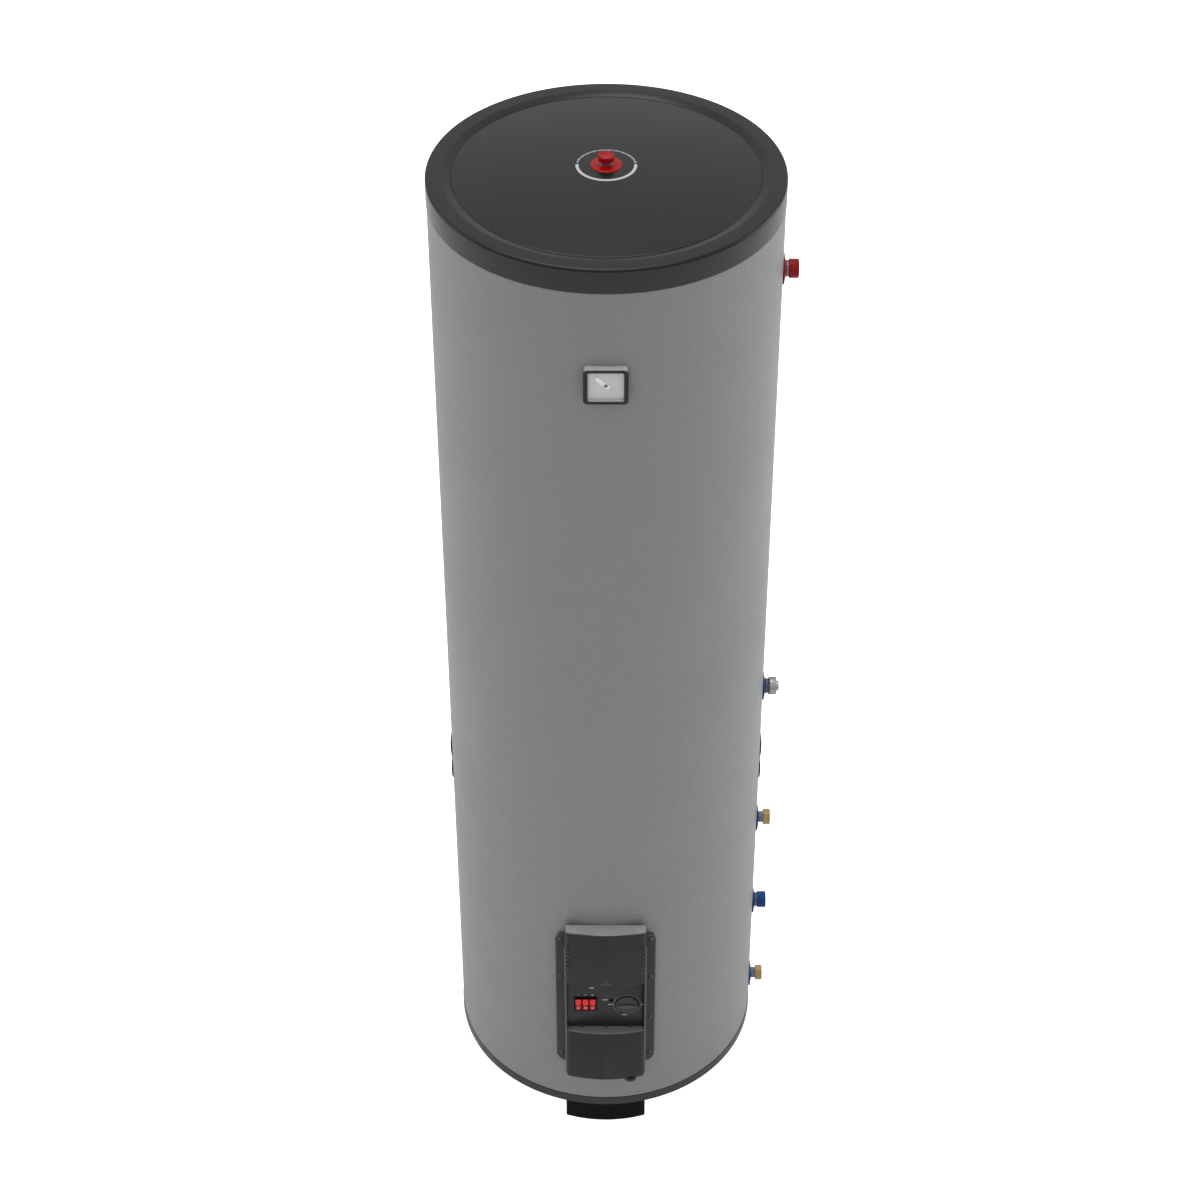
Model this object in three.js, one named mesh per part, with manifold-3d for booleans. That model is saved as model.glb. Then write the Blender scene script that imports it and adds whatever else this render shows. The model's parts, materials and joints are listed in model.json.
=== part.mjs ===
// Floor-standing tank water heater: insulated vessel, heat exchanger, electric heating and controls.
// Millimetres, +Z up. Everything is drawn about the vessel's axis, with its front towards -Y and its
// pipe connections towards +X. The last lines move the whole to the centre of its footprint.
import * as THREE from 'three';
import { mergeVertices } from 'three/addons/utils/BufferGeometryUtils.js';
import Module from 'manifold-3d';

const wasm = await Module();
wasm.setup();

// ---------------------------------------------------------------- driving dimensions
const gap = 0.4;                       // between pieces that touch
const looseGap = 1;                    // around pipes, rods and the vessel
const roundSegments = 36;              // of the large round pieces

// casing
const jacketRadius = 280;
const jacketWall = 1;
const jacketBottom = 123.5;
const jacketHeight = 1804.5;
const foamThickness = 51;
const lidOverhang = 1;
const lidWall = 3;
const lidSkirtHeight = 41.5;
const lidRimWidth = 27;
const lidStepWidth = 13;
const lidStepDepth = 3.5;
const lidDomeRise = 17;
const lipHeight = 13;
const lipWall = 2.6;
const trimHeight = 19.3;
const trimWall = 2.5;
const trimFlange = 18;
const panWall = 1.5;

// feet
const footHeightAboveTrim = 71;
const footWall = 3.5;
const footSole = 32;
const footSoleWall = 4;
const footHalfAngle = 19.1;
const footAngles = { foot_front: 0, foot_rear_right: 120, foot_rear_left: -120 };

// vessel
const vesselWall = 3;
const topHeadDepth = 65;
const bottomHeadDepth = 36;
const vesselBottomLine = 153;
const vesselTopBelowJacket = 78;
const pipeWall = 3;
const neckRadius = 50;
const neckBore = 42;
const neckReach = 17;
const flangeRadius = 57;
const flangeWall = 6;
const gasketWall = 2.5;
const flangeHeight = 486;

// heat exchanger, heating elements, anode and pocket
const coilTube = 12;
const coilBore = 9.5;
const coilInset = 62;
const coilTurns = 5;
const coilPitch = 46;
const elementRadius = 4;
const elementReach = 300;
const elementSpacing = 22;
const elementLoop = 18;
const terminalReach = 8;
const anodeRadius = 10.5;
const anodeReach = 330;
const anodeDrop = 24;
const pocketRadius = 5;
const pocketReach = 190;
const pocketRise = 36;

// pipe connections on the right-hand side, and the outlet on top
const largePipe = 13.3;
const smallPipe = 10.2;
const collarRadius = 26;
const collarRise = 4.6;
const capReach = 25.3;
const capWall = 1.6;
const hotPortBelowTop = 133;
const circulationHeight = 915.5;
const coilInletHeight = 591;
const coldHeight = 372;
const coilOutletHeight = 168;
const topCapHeight = 10;
const topCapStandoff = 8;

// thermometer
const gaugeBelowTop = 160.5;
const gaugeWidth = 69;
const gaugeHeight = 64;
const gaugeDepth = 10.6;
const gaugeCorner = 7;
const windowWidth = 56;
const windowHeight = 51;
const windowDepth = 7;
const pointerReach = 20;
const pointerTail = 6.5;
const pointerRestAngle = -48;
const probeRadius = 4;

// control housing
const frameHalfWidth = 91;
const frameBottom = 228;
const frameTop = 564;
const frameDepth = 10;
const frameCorner = 14;
const openingHalfWidth = 58;
const openingMargin = 19;
const coverHalfBack = 75.5;
const coverHalfFront = 71.8;
const coverDepth = 28;
const coverBow = 9.4;
const coverWall = 2.6;
const coverCorner = 7;
const coverBottom = 206.8;
const ledgeHeight = 333.4;
const baySize = 125.4;
const upperCoverHeight = 134;
const panelStandoff = 8.4;
const panelWall = 3;
const bayHalfWidth = 70.2;
const panelRise = 12;
const ribWidth = 2;
const ribHeight = 10;
const ribSpacing = 46;
const slotCount = 5;
const slotPitch = 11.5;

// controls
const controlHeight = 392;
const switchEdge = -57.9;
const switchMargin = 1.7;
const switchRise = 2;
const switchHeight = 36.4;
const switchDepth = 24;
const rockerCount = 3;
const rockerWeb = 2.7;
const rockerWidth = 10.3;
const rockerHalfHeight = 15.6;
const rockerTilt = 5;
const rockerPitch = rockerWidth + rockerWeb;
const switchWidth = rockerCount * rockerPitch + 2 * switchMargin;
const rockerHeight = controlHeight + switchRise;
const switchCentre = switchEdge + switchWidth / 2;
const knobCentre = 39.5;
const knobRadius = 21.5;
const knobDisc = 5;
const knobGrip = 6;
const shaftRadius = 3;
const resetCentre = 9.8;
const resetHeight = 403.4;
const resetRadius = 2.2;
const glandCentre = 46.2;
const glandRadius = 12.5;
const glandBore = 5;
const glandReach = 9.4;
const screwHead = 4.6;
const screwShank = 2;
const screwInset = 9;
const screwDrops = [11, 109, 217, 314.5];

// hand grips
const gripHeight = 760;
const gripLength = 114;
const gripWidth = 54;
const gripDepth = 2.9;
const gripDish = 1.6;

// ---------------------------------------------------------------- values that follow from them
const jacketTop = jacketBottom + jacketHeight;
const innerRadius = jacketRadius - jacketWall - gap;
const vesselRadius = jacketRadius - foamThickness - 2 * looseGap;
const vesselTopLine = jacketTop - vesselTopBelowJacket;
const lidRadius = jacketRadius + lidOverhang;
const lidTop = jacketTop + lidSkirtHeight;
const domeRadius = lidRadius - lidRimWidth - lidStepWidth;
const domeEdge = lidTop - lidStepDepth - 0.5;
const apex = domeEdge + lidDomeRise;
const trimBottom = jacketBottom - gap - trimHeight;
const coverFront = -(jacketRadius + coverDepth);
const coverBack = -(jacketRadius + looseGap);
const panelFront = -(jacketRadius + panelStandoff);
const upperCoverBottom = ledgeHeight + baySize;
const gaugeCentre = jacketTop - gaugeBelowTop;
const neckFace = -(vesselRadius + neckReach);
const coilRadius = vesselRadius - coilInset;

// ---------------------------------------------------------------- shape helpers
// A closed geometry as a solid with its faces outwards.
function toSolid(geometry) {
  const bare = geometry.index ? geometry.toNonIndexed() : geometry.clone();
  bare.deleteAttribute('normal');
  bare.deleteAttribute('uv');
  const merged = mergeVertices(bare, 1e-3);
  const position = merged.attributes.position;
  const corners = [];
  let volume = 0;
  for (let i = 0; i < merged.index.count; i += 3) {
    const [a, b, c] = [0, 1, 2].map((k) => merged.index.getX(i + k));
    if (a === b || b === c || c === a) continue;
    corners.push(a, b, c);
    const [p, q, r] = [a, b, c].map((k) => new THREE.Vector3().fromBufferAttribute(position, k));
    volume += p.dot(q.cross(r));
  }
  if (volume < 0) corners.reverse();
  return new wasm.Manifold(new wasm.Mesh({
    numProp: 3,
    vertProperties: Float32Array.from(position.array),
    triVerts: Uint32Array.from(corners),
  }));
}

function toGeometry(solid) {
  const { vertProperties, triVerts, numProp } = solid.getMesh();
  const positions = [];
  for (const corner of triVerts) {
    const at = corner * numProp;
    positions.push(vertProperties[at], vertProperties[at + 1], vertProperties[at + 2]);
  }
  const geometry = new THREE.BufferGeometry();
  geometry.setAttribute('position', new THREE.Float32BufferAttribute(positions, 3));
  geometry.computeVertexNormals();
  return geometry;
}

const join = (first, ...rest) => rest.reduce((whole, next) => whole.add(next), first);
const cut = (first, ...rest) => rest.reduce((whole, next) => whole.subtract(next), first);

// A profile of [radius, height] points turned about the Z axis. It starts and ends on the axis, or closes.
function turned(profile, segments = roundSegments) {
  const points = profile.map(([radius, height]) => new THREE.Vector2(radius, height));
  const onAxis = profile[0][0] === 0 && profile.at(-1)[0] === 0;
  if (!onAxis) points.push(points[0].clone());
  return new THREE.LatheGeometry(points, segments).rotateX(Math.PI / 2);
}

const disc = (radius, bottom, top, segments = roundSegments) =>
  turned([[0, bottom], [radius, bottom], [radius, top], [0, top]], segments);
const turnedX = (profile, segments) => turned(profile, segments).rotateY(Math.PI / 2);
// Profile heights count towards the front, which is -Y.
const turnedFront = (profile, segments) => turned(profile, segments).rotateX(Math.PI / 2);
const discFront = (radius, back, front, segments = 24) =>
  disc(radius, -back, -front, segments).rotateX(Math.PI / 2);

function block(x0, x1, y0, y1, z0, z1) {
  const box = new THREE.BoxGeometry(x1 - x0, y1 - y0, z1 - z0);
  return box.translate((x0 + x1) / 2, (y0 + y1) / 2, (z0 + z1) / 2);
}

function roundedRectangle(x0, x1, z0, z1, lower, upper = lower) {
  const shape = new THREE.Shape();
  shape.moveTo(x0 + lower, z0);
  shape.lineTo(x1 - lower, z0);
  shape.absarc(x1 - lower, z0 + lower, lower, -Math.PI / 2, 0);
  shape.lineTo(x1, z1 - upper);
  shape.absarc(x1 - upper, z1 - upper, upper, 0, Math.PI / 2);
  shape.lineTo(x0 + upper, z1);
  shape.absarc(x0 + upper, z1 - upper, upper, Math.PI / 2, Math.PI);
  shape.lineTo(x0, z0 + lower);
  shape.absarc(x0 + lower, z0 + lower, lower, Math.PI, 1.5 * Math.PI);
  return shape;
}

// A shape drawn in X and Z, given thickness from y = back to y = front.
function frontPlate(shape, back, front, curveSegments = 4) {
  const settings = { depth: back - front, bevelEnabled: false, curveSegments };
  return new THREE.ExtrudeGeometry(shape, settings).rotateX(Math.PI / 2).translate(0, back, 0);
}

// A shape drawn in X and Y, given height from bottom to top.
function floorPlate(shape, bottom, top, curveSegments = 8) {
  const settings = { depth: top - bottom, bevelEnabled: false, curveSegments };
  return new THREE.ExtrudeGeometry(shape, settings).translate(0, 0, bottom);
}

const radians = THREE.MathUtils.degToRad;

// Part of a ring about the Z axis. Its middle is at the given angle from the front.
function sector(inner, outer, middle, halfAngle, bottom, top) {
  const from = radians(middle - 90 - halfAngle);
  const to = radians(middle - 90 + halfAngle);
  const shape = new THREE.Shape();
  shape.absarc(0, 0, outer, from, to);
  shape.absarc(0, 0, inner, to, from, true);
  return floorPlate(shape, bottom, top, 10);
}

function hexagonX(acrossCorners, back, front) {
  return disc(acrossCorners / 2, back, front, 6).rotateY(Math.PI / 2);
}

// ---------------------------------------------------------------- the group and its materials
const group = new THREE.Group();

function add(name, shape, material) {
  const geometry = shape instanceof THREE.BufferGeometry ? toGeometry(toSolid(shape)) : toGeometry(shape);
  const mesh = new THREE.Mesh(geometry, material());
  mesh.name = name;
  group.add(mesh);
  return mesh;
}

const look = (color, roughness, metalness = 0) => () =>
  new THREE.MeshStandardMaterial({ color, roughness, metalness });
const paintedSteel = look(0x8a8b8d, 0.45, 0.2);
const lidPlastic = look(0x3a3b3a, 0.4);
const housingPlastic = look(0x2b2c2c, 0.5);
const blackSteel = look(0x151616, 0.6);
const blackRubber = look(0x0b0b0b, 0.8);
const enamel = look(0x24406b, 0.3);
const foamYellow = look(0xd9c77a, 0.9);
const bareSteel = look(0x8f9194, 0.35, 0.9);
const stainless = look(0x9d9c9a, 0.25, 1);
const brass = look(0xa98b50, 0.3, 1);
const redPlastic = look(0xa81414, 0.35);
const bluePlastic = look(0x0b3f8c, 0.35);
const magnesium = look(0xa7a9a6, 0.6, 0.8);
const gaugeSilver = look(0xcfcfd0, 0.4);
const whitePlastic = look(0xeeeeee, 0.4);
const clearPlastic = look(0xe8f0f2, 0.05);

// ---------------------------------------------------------------- pipe connections
const ports = [
  { name: 'hot_outlet', height: jacketTop - hotPortBelowTop, radius: largePipe, collar: redPlastic },
  { name: 'circulation', height: circulationHeight, radius: largePipe, collar: bluePlastic },
  { name: 'coil_inlet', height: coilInletHeight, radius: smallPipe, collar: bluePlastic },
  { name: 'cold_inlet', height: coldHeight, radius: largePipe, collar: bluePlastic },
  { name: 'coil_outlet', height: coilOutletHeight, radius: smallPipe, collar: bluePlastic },
];
const portEnd = jacketRadius + capReach - capWall - gap;

const portRod = (radius, back, front, height) =>
  toSolid(disc(radius, back, front, 16).rotateY(Math.PI / 2).translate(0, 0, height));

// A dished collar: a thin shell from the pipe down to its rim.
function collarProfile(pipe, seat) {
  const bore = pipe + gap;
  return [
    [bore, seat + collarRise - capWall],
    [collarRadius - 3, seat],
    [collarRadius, seat],
    [collarRadius, seat + 0.9],
    [bore, seat + collarRise],
  ];
}

// A push-on or screwed cap with its blind bore over the end of the pipe.
function capProfile(pipe, radius, back, front) {
  const bore = pipe + gap;
  return [
    [0, front], [radius - 1.4, front], [radius, front - 1.4], [radius, back + 0.5],
    [radius - 0.5, back], [bore, back], [bore, front - capWall], [0, front - capWall],
  ];
}

function addPorts() {
  const end = jacketRadius + capReach;
  const seat = jacketRadius + gap;
  for (const { name, height, radius, collar } of ports) {
    const shell = turnedX(collarProfile(radius, seat), 20).translate(0, 0, height);
    add(`${name}_collar`, shell, collar);
  }
  const place = (shape, index) => shape.translate(0, 0, ports[index].height);
  const roundCap = () => turnedX(capProfile(largePipe, 15.6, end - 16.4, end), 20);
  add('hot_outlet_cap', place(roundCap(), 0), redPlastic);
  add('cold_inlet_cap', place(roundCap(), 3), bluePlastic);
  for (const index of [2, 4]) {
    const bore = portRod(smallPipe + gap, 0, end - capWall, 0);
    const nut = cut(toSolid(hexagonX(30, end - 13.5, end)), bore);
    const rounded = toSolid(turnedX([[0, end], [13.4, end], [15.2, end - 2], [15.2, end - 13], [0, end - 13.5]], 24));
    add(`${ports[index].name}_cap`, nut.intersect(rounded).translate(0, 0, ports[index].height), brass);
  }
  const plugBack = jacketRadius + 9.6;
  const plugFront = jacketRadius + 24;
  const plugBody = toSolid(turnedX([
    [0, plugBack], [14.8, plugBack], [16.3, plugBack + 3], [16.3, plugFront - 1], [15.4, plugFront],
    [9.2, plugFront], [9.2, plugFront + 4], [8.2, plugFront + 4.8], [0, plugFront + 4.8],
  ], 24));
  const flats = join(
    toSolid(hexagonX(36.8, plugBack, plugFront)),
    portRod(9.3, plugFront - 1, plugFront + 5, 0),
  );
  const plug = cut(plugBody.intersect(flats), portRod(largePipe + gap, 0, portEnd - 3 + gap, 0));
  add('circulation_plug', plug.translate(0, 0, circulationHeight), stainless);

  const topSeat = apex + gap;
  add('top_outlet_collar', turned(collarProfile(smallPipe, topSeat), 20), redPlastic);
  const capBack = apex + topCapStandoff;
  add('top_outlet_cap', turned(capProfile(smallPipe, 12.7, capBack, capBack + topCapHeight), 20), redPlastic);
}

// ---------------------------------------------------------------- casing
const domeHeight = (radius) => apex - lidDomeRise * (radius / domeRadius) ** 2;
const openingBottom = frameBottom + openingMargin;
const openingTop = frameTop - openingMargin;
const housingOpening = (back) =>
  toSolid(block(-openingHalfWidth, openingHalfWidth, -2 * jacketRadius, back, openingBottom, openingTop));

const screwAngle = THREE.MathUtils.radToDeg(Math.asin((frameHalfWidth - screwInset) / (jacketRadius + frameDepth)));
const screwHeights = screwDrops.map((drop) => frameTop - drop);

// Turns a shape drawn along +X to point out of the casing at a screw's place.
const atScrew = (shape, side, height) =>
  shape.rotateZ(radians(-90 + side * screwAngle)).translate(0, 0, height);

function screwHoles(radius) {
  const rods = [];
  for (const side of [-1, 1]) {
    for (const height of screwHeights) {
      const rod = disc(radius, jacketRadius - 20, jacketRadius + 40, 8).rotateY(Math.PI / 2);
      rods.push(toSolid(atScrew(rod, side, height)));
    }
  }
  return rods;
}

function addCasing() {
  const tube = turned([
    [jacketRadius - jacketWall, jacketBottom], [jacketRadius, jacketBottom],
    [jacketRadius, jacketTop], [jacketRadius - jacketWall, jacketTop],
  ]);
  const holes = ports.map(({ radius, height }) => portRod(radius + 3, 200, 2 * jacketRadius, height));
  const probeHole = toSolid(discFront(probeRadius + 6, -100, -2 * jacketRadius, 12).translate(0, 0, gaugeCentre));
  const openings = [...holes, probeHole, housingOpening(-100), ...screwHoles(screwShank + gap)];
  add('outer_jacket', cut(toSolid(tube), ...openings), paintedSteel);

  const skirtBottom = jacketTop + gap;
  const domeRadii = [0.65, 0.35].map((share) => share * domeRadius);
  const outside = domeRadii.map((radius) => [radius, domeHeight(radius)]);
  const inside = domeRadii.map((radius) => [radius, domeHeight(radius) - lidWall]).reverse();
  const bore = smallPipe + looseGap;
  add('top_lid', turned([
    [lidRadius, skirtBottom], [lidRadius, lidTop - 5], [lidRadius - 1.2, lidTop - 2.4],
    [lidRadius - 6.5, lidTop], [domeRadius + lidStepWidth, lidTop - 0.5], [domeRadius, domeEdge],
    ...outside, [bore, apex], [bore, apex - lidWall], ...inside,
    [domeRadius - 1, domeEdge - lidWall], [domeRadius + lidStepWidth, lidTop - 0.5 - lidWall],
    [lidRadius - 8, lidTop - lidWall], [lidRadius - lidWall - gap, lidTop - 6],
    [innerRadius - lipWall, jacketTop + 6], [innerRadius - lipWall, jacketTop - lipHeight],
    [innerRadius, jacketTop - lipHeight], [innerRadius, skirtBottom],
  ]), lidPlastic);

  const trimTop = jacketBottom - gap;
  add('bottom_trim_ring', turned([
    [lidRadius - trimFlange, trimBottom], [lidRadius, trimBottom], [lidRadius, trimTop],
    [innerRadius, trimTop], [innerRadius, jacketBottom + lipHeight - 1],
    [innerRadius - lipWall, jacketBottom + lipHeight - 1],
    [innerRadius - lipWall, trimBottom + trimWall], [lidRadius - trimFlange, trimBottom + trimWall],
  ]), housingPlastic);

  const panBottom = trimBottom + trimWall + gap;
  const slots = Object.values(footAngles).map((angle) => toSolid(sector(
    footOuter() - footWall - looseGap, footOuter() + looseGap, angle, footHalfAngle + 0.6, 0, footTop(),
  )));
  const pan = toSolid(disc(innerRadius - lipWall - gap, panBottom, panBottom + panWall));
  add('bottom_pan', cut(pan, ...slots), bareSteel);
}

// ---------------------------------------------------------------- feet and hand grips
const footOuter = () => vesselRadius + footWall + 1.5;
const footTop = () => trimBottom + footHeightAboveTrim;

function addFeet() {
  for (const [name, angle] of Object.entries(footAngles)) {
    const wall = sector(footOuter() - footWall, footOuter(), angle, footHalfAngle, 0, footTop());
    const sole = sector(footOuter() - footSole, footOuter() - 1, angle, footHalfAngle, 0, footSoleWall);
    add(name, join(toSolid(wall), toSolid(sole)), blackSteel);
  }
}

function addGrips() {
  const inner = jacketRadius + gap;
  const outline = roundedRectangle(-gripWidth / 2, gripWidth / 2, -gripLength / 2, gripLength / 2, 20);
  const lobe = gripLength / 2 - 8;
  for (const [name, angle] of [['hand_grip_right', 90], ['hand_grip_left', -90]]) {
    const shell = turned([
      [inner, -gripLength], [inner + gripDepth, -gripLength], [inner + gripDepth, gripLength], [inner, gripLength],
    ]);
    const plate = toSolid(frontPlate(outline, -jacketRadius / 2, -2 * jacketRadius));
    const dishes = [-1, 1].map((end) => {
      const middle = end * (lobe / 2 + 2.5);
      const shape = roundedRectangle(-gripWidth / 2 + 6, gripWidth / 2 - 6, middle - lobe / 2, middle + lobe / 2, 14);
      const floor = inner + gripDepth - gripDish;
      const keep = disc(floor, -gripLength, gripLength);
      return cut(toSolid(frontPlate(shape, -jacketRadius / 2, -2 * jacketRadius)), toSolid(keep));
    });
    const grip = cut(toSolid(shell).intersect(plate), ...dishes);
    add(name, grip.rotate([0, 0, angle]).translate([0, 0, gripHeight]), blackRubber);
  }
}

// ---------------------------------------------------------------- insulation and vessel
// The points of a domed head, from the tangent line towards the axis.
function headPoints(radius, line, depth, direction, stop = 0) {
  const points = [];
  for (const angle of [0, 35, 65]) {
    const at = radians(angle);
    points.push([radius * Math.cos(at), line + direction * depth * Math.sin(at)]);
  }
  points.push([stop, line + direction * depth]);
  return points;
}

const foamBottom = trimBottom + trimWall + panWall + 3 * gap;

function addInsulation() {
  const cavity = vesselRadius + looseGap;
  const lipRadius = innerRadius - lipWall - gap;
  const bore = smallPipe + looseGap;
  const bottomHead = headPoints(cavity, vesselBottomLine, bottomHeadDepth + looseGap, -1);
  const topHead = headPoints(cavity, vesselTopLine, topHeadDepth + looseGap, 1, bore).reverse();
  const foam = toSolid(turned([
    [0, foamBottom], [lipRadius, foamBottom], [lipRadius, jacketBottom + lipHeight],
    [innerRadius, jacketBottom + lipHeight], [innerRadius, jacketTop - lipHeight - gap],
    [lipRadius, jacketTop - lipHeight - gap], [lipRadius, lidTop - 14], [bore, lidTop - 14],
    ...topHead, ...bottomHead,
  ]));
  const pipes = ports.map(({ radius, height }) => portRod(radius + looseGap, 200, 2 * jacketRadius, height));
  const probe = toSolid(discFront(probeRadius + looseGap, -100, -2 * jacketRadius, 12).translate(0, 0, gaugeCentre));
  const slots = Object.values(footAngles).map((angle) => toSolid(sector(
    footOuter() - footWall - looseGap, footOuter() + looseGap, angle, footHalfAngle + 0.6, 0, footTop() + looseGap,
  )));
  add('foam_insulation', cut(foam, ...pipes, probe, housingOpening(-100), ...slots), foamYellow);
}

function addVessel() {
  const inside = vesselRadius - vesselWall;
  const topPipeEnd = apex + topCapStandoff + topCapHeight - capWall - gap;
  const bore = smallPipe - pipeWall;
  const body = toSolid(turned([
    ...headPoints(vesselRadius, vesselBottomLine, bottomHeadDepth, -1).reverse(),
    ...headPoints(vesselRadius, vesselTopLine, topHeadDepth, 1, smallPipe),
    [smallPipe, topPipeEnd], [bore, topPipeEnd],
    ...headPoints(inside, vesselTopLine, topHeadDepth - vesselWall, 1, bore).reverse(),
    ...headPoints(inside, vesselBottomLine, bottomHeadDepth - vesselWall, -1),
  ]));
  const pipes = ports.map(({ name, radius, height }) =>
    portRod(radius, inside + vesselWall / 2, name === 'circulation' ? portEnd - 3 : portEnd, height));
  const bores = ports.map(({ radius, height }) => portRod(radius - pipeWall, inside - 20, 2 * jacketRadius, height));
  const neck = join(
    toSolid(discFront(neckRadius, -(inside - 6), neckFace, 24)),
    toSolid(discFront(flangeRadius, neckFace + 5, neckFace, 24)),
  ).translate([0, 0, flangeHeight]);
  const neckHole = toSolid(discFront(neckBore, -(inside - 30), neckFace - 5, 24)).translate([0, 0, flangeHeight]);
  add('inner_tank', cut(join(body, ...pipes, neck), ...bores, neckHole), enamel);
}

// ---------------------------------------------------------------- inside the vessel
function addCoil() {
  const reach = vesselRadius - vesselWall - 3 * gap;
  const points = [
    new THREE.Vector3(reach, 0, coilOutletHeight),
    new THREE.Vector3(reach - 16, 0, coilOutletHeight),
    new THREE.Vector3(coilRadius + 14, 14, coilOutletHeight),
  ];
  const stepsPerTurn = 8;
  const steps = coilTurns * stepsPerTurn - 2;
  for (let step = 2; step <= steps; step += 1) {
    const angle = (2 * Math.PI * step) / stepsPerTurn;
    const height = coilOutletHeight + (coilPitch * step) / stepsPerTurn;
    points.push(new THREE.Vector3(coilRadius * Math.cos(angle), coilRadius * Math.sin(angle), height));
  }
  const coilTop = coilOutletHeight + coilPitch * coilTurns;
  points.push(
    new THREE.Vector3(coilRadius + 10, -22, coilTop + 20),
    new THREE.Vector3(coilRadius + 16, 0, coilTop + 70),
    new THREE.Vector3(coilRadius + 16, 0, coilInletHeight - 40),
    new THREE.Vector3(reach - 16, 0, coilInletHeight),
    new THREE.Vector3(reach, 0, coilInletHeight),
  );
  const ring = new THREE.Shape().absarc(0, 0, coilTube, 0, 2 * Math.PI);
  ring.holes.push(new THREE.Path().absarc(0, 0, coilBore, 0, 2 * Math.PI));
  const extrudePath = new THREE.CatmullRomCurve3(points, false, 'centripetal');
  const settings = { steps: 68, extrudePath, curveSegments: 3 };
  add('heat_exchanger_coil', new THREE.ExtrudeGeometry(ring, settings), bareSteel);
}

const gasketFront = neckFace - gap - gasketWall;
const flangeFront = gasketFront - gap - flangeWall;

function elementRoute(x) {
  const outer = flangeFront - terminalReach;
  const tip = gasketFront + elementReach;
  const half = elementLoop / 2;
  const middle = flangeHeight + half;
  const points = [new THREE.Vector3(x, outer, middle - half), new THREE.Vector3(x, tip - 2 * half, middle - half)];
  for (const angle of [-90, -45, 0, 45, 90]) {
    const at = radians(angle);
    points.push(new THREE.Vector3(x, tip - half + half * Math.cos(at), middle + half * Math.sin(at)));
  }
  points.push(new THREE.Vector3(x, tip - 2 * half, middle + half), new THREE.Vector3(x, outer, middle + half));
  return new THREE.CatmullRomCurve3(points, false, 'centripetal');
}

function addHeating() {
  const gasket = turned([
    [neckBore + 1, -neckFace + gap], [flangeRadius, -neckFace + gap],
    [flangeRadius, -gasketFront], [neckBore + 1, -gasketFront],
  ], 24).rotateX(Math.PI / 2);
  add('flange_gasket', gasket.translate(0, 0, flangeHeight), blackRubber);

  const places = [-1, 0, 1].map((step) => step * elementSpacing);
  const rod = (radius, x, z) => toSolid(discFront(radius, 0, 2 * neckFace, 8).translate(x, 0, flangeHeight + z));
  const holes = places.flatMap((x) => [0, elementLoop].map((z) => rod(elementRadius + gap, x, z)));
  holes.push(rod(pocketRadius + gap, 0, pocketRise));
  const plate = toSolid(discFront(flangeRadius, gasketFront - gap, flangeFront, 24).translate(0, 0, flangeHeight));
  add('element_flange', cut(plate, ...holes), bareSteel);

  places.forEach((x, index) => {
    const section = new THREE.Shape().absarc(0, 0, elementRadius, 0, 2 * Math.PI);
    const settings = { steps: 20, extrudePath: elementRoute(x), curveSegments: 3 };
    add(`heating_element_${index + 1}`, new THREE.ExtrudeGeometry(section, settings), stainless);
  });

  const anodeBack = gasketFront + anodeReach;
  const anode = discFront(anodeRadius, anodeBack, gasketFront, 12).translate(0, 0, flangeHeight - anodeDrop);
  add('anode_rod', anode, magnesium);

  const mouth = -(flangeFront - terminalReach);
  const tip = mouth - pocketReach;
  const pocket = turnedFront([
    [0, tip], [pocketRadius, tip + 2], [pocketRadius, mouth], [pocketRadius - 1, mouth],
    [pocketRadius - 1, tip + 3], [0, tip + 3],
  ], 12);
  add('sensor_pocket', pocket.translate(0, 0, flangeHeight + pocketRise), stainless);
}

// ---------------------------------------------------------------- thermometer
function addThermometer() {
  const back = -(jacketRadius + gap);
  const front = -(jacketRadius + gaugeDepth);
  const centred = (width, height, corner) => roundedRectangle(
    -width / 2, width / 2, gaugeCentre - height / 2, gaugeCentre + height / 2, corner,
  );
  const casing = frontPlate(centred(gaugeWidth, gaugeHeight, gaugeCorner), back, front);
  const window = frontPlate(centred(windowWidth, windowHeight, 4), front + windowDepth, front - 5);
  add('thermometer_case', cut(toSolid(casing), toSolid(window)), housingPlastic);

  const inside = 2 * gap;
  const dialBack = front + windowDepth - gap;
  const dialPlate = frontPlate(centred(windowWidth - inside, windowHeight - inside, 3.6), dialBack, dialBack - 0.8);
  add('thermometer_dial', dialPlate, gaugeSilver);

  const hubBack = dialBack - 0.8 - gap;
  const bar = roundedRectangle(-3, 3, -pointerTail, pointerReach, 2);
  const pointer = join(
    toSolid(frontPlate(bar, hubBack - 1, hubBack - 2)),
    toSolid(discFront(2.4, hubBack, hubBack - 1.5, 12)),
  );
  const angled = pointer.rotate([0, pointerRestAngle, 0]).translate([0, 0, gaugeCentre]);
  add('thermometer_pointer', angled, whitePlastic);

  const lens = frontPlate(centred(windowWidth - inside, windowHeight - inside, 3.6), front + 2.4, front + 1.2);
  add('thermometer_lens', lens, clearPlastic);

  const probe = discFront(probeRadius, -(vesselRadius + 2 * gap), back + gap, 12);
  add('thermometer_probe', probe.translate(0, 0, gaugeCentre), brass);
}

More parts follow.
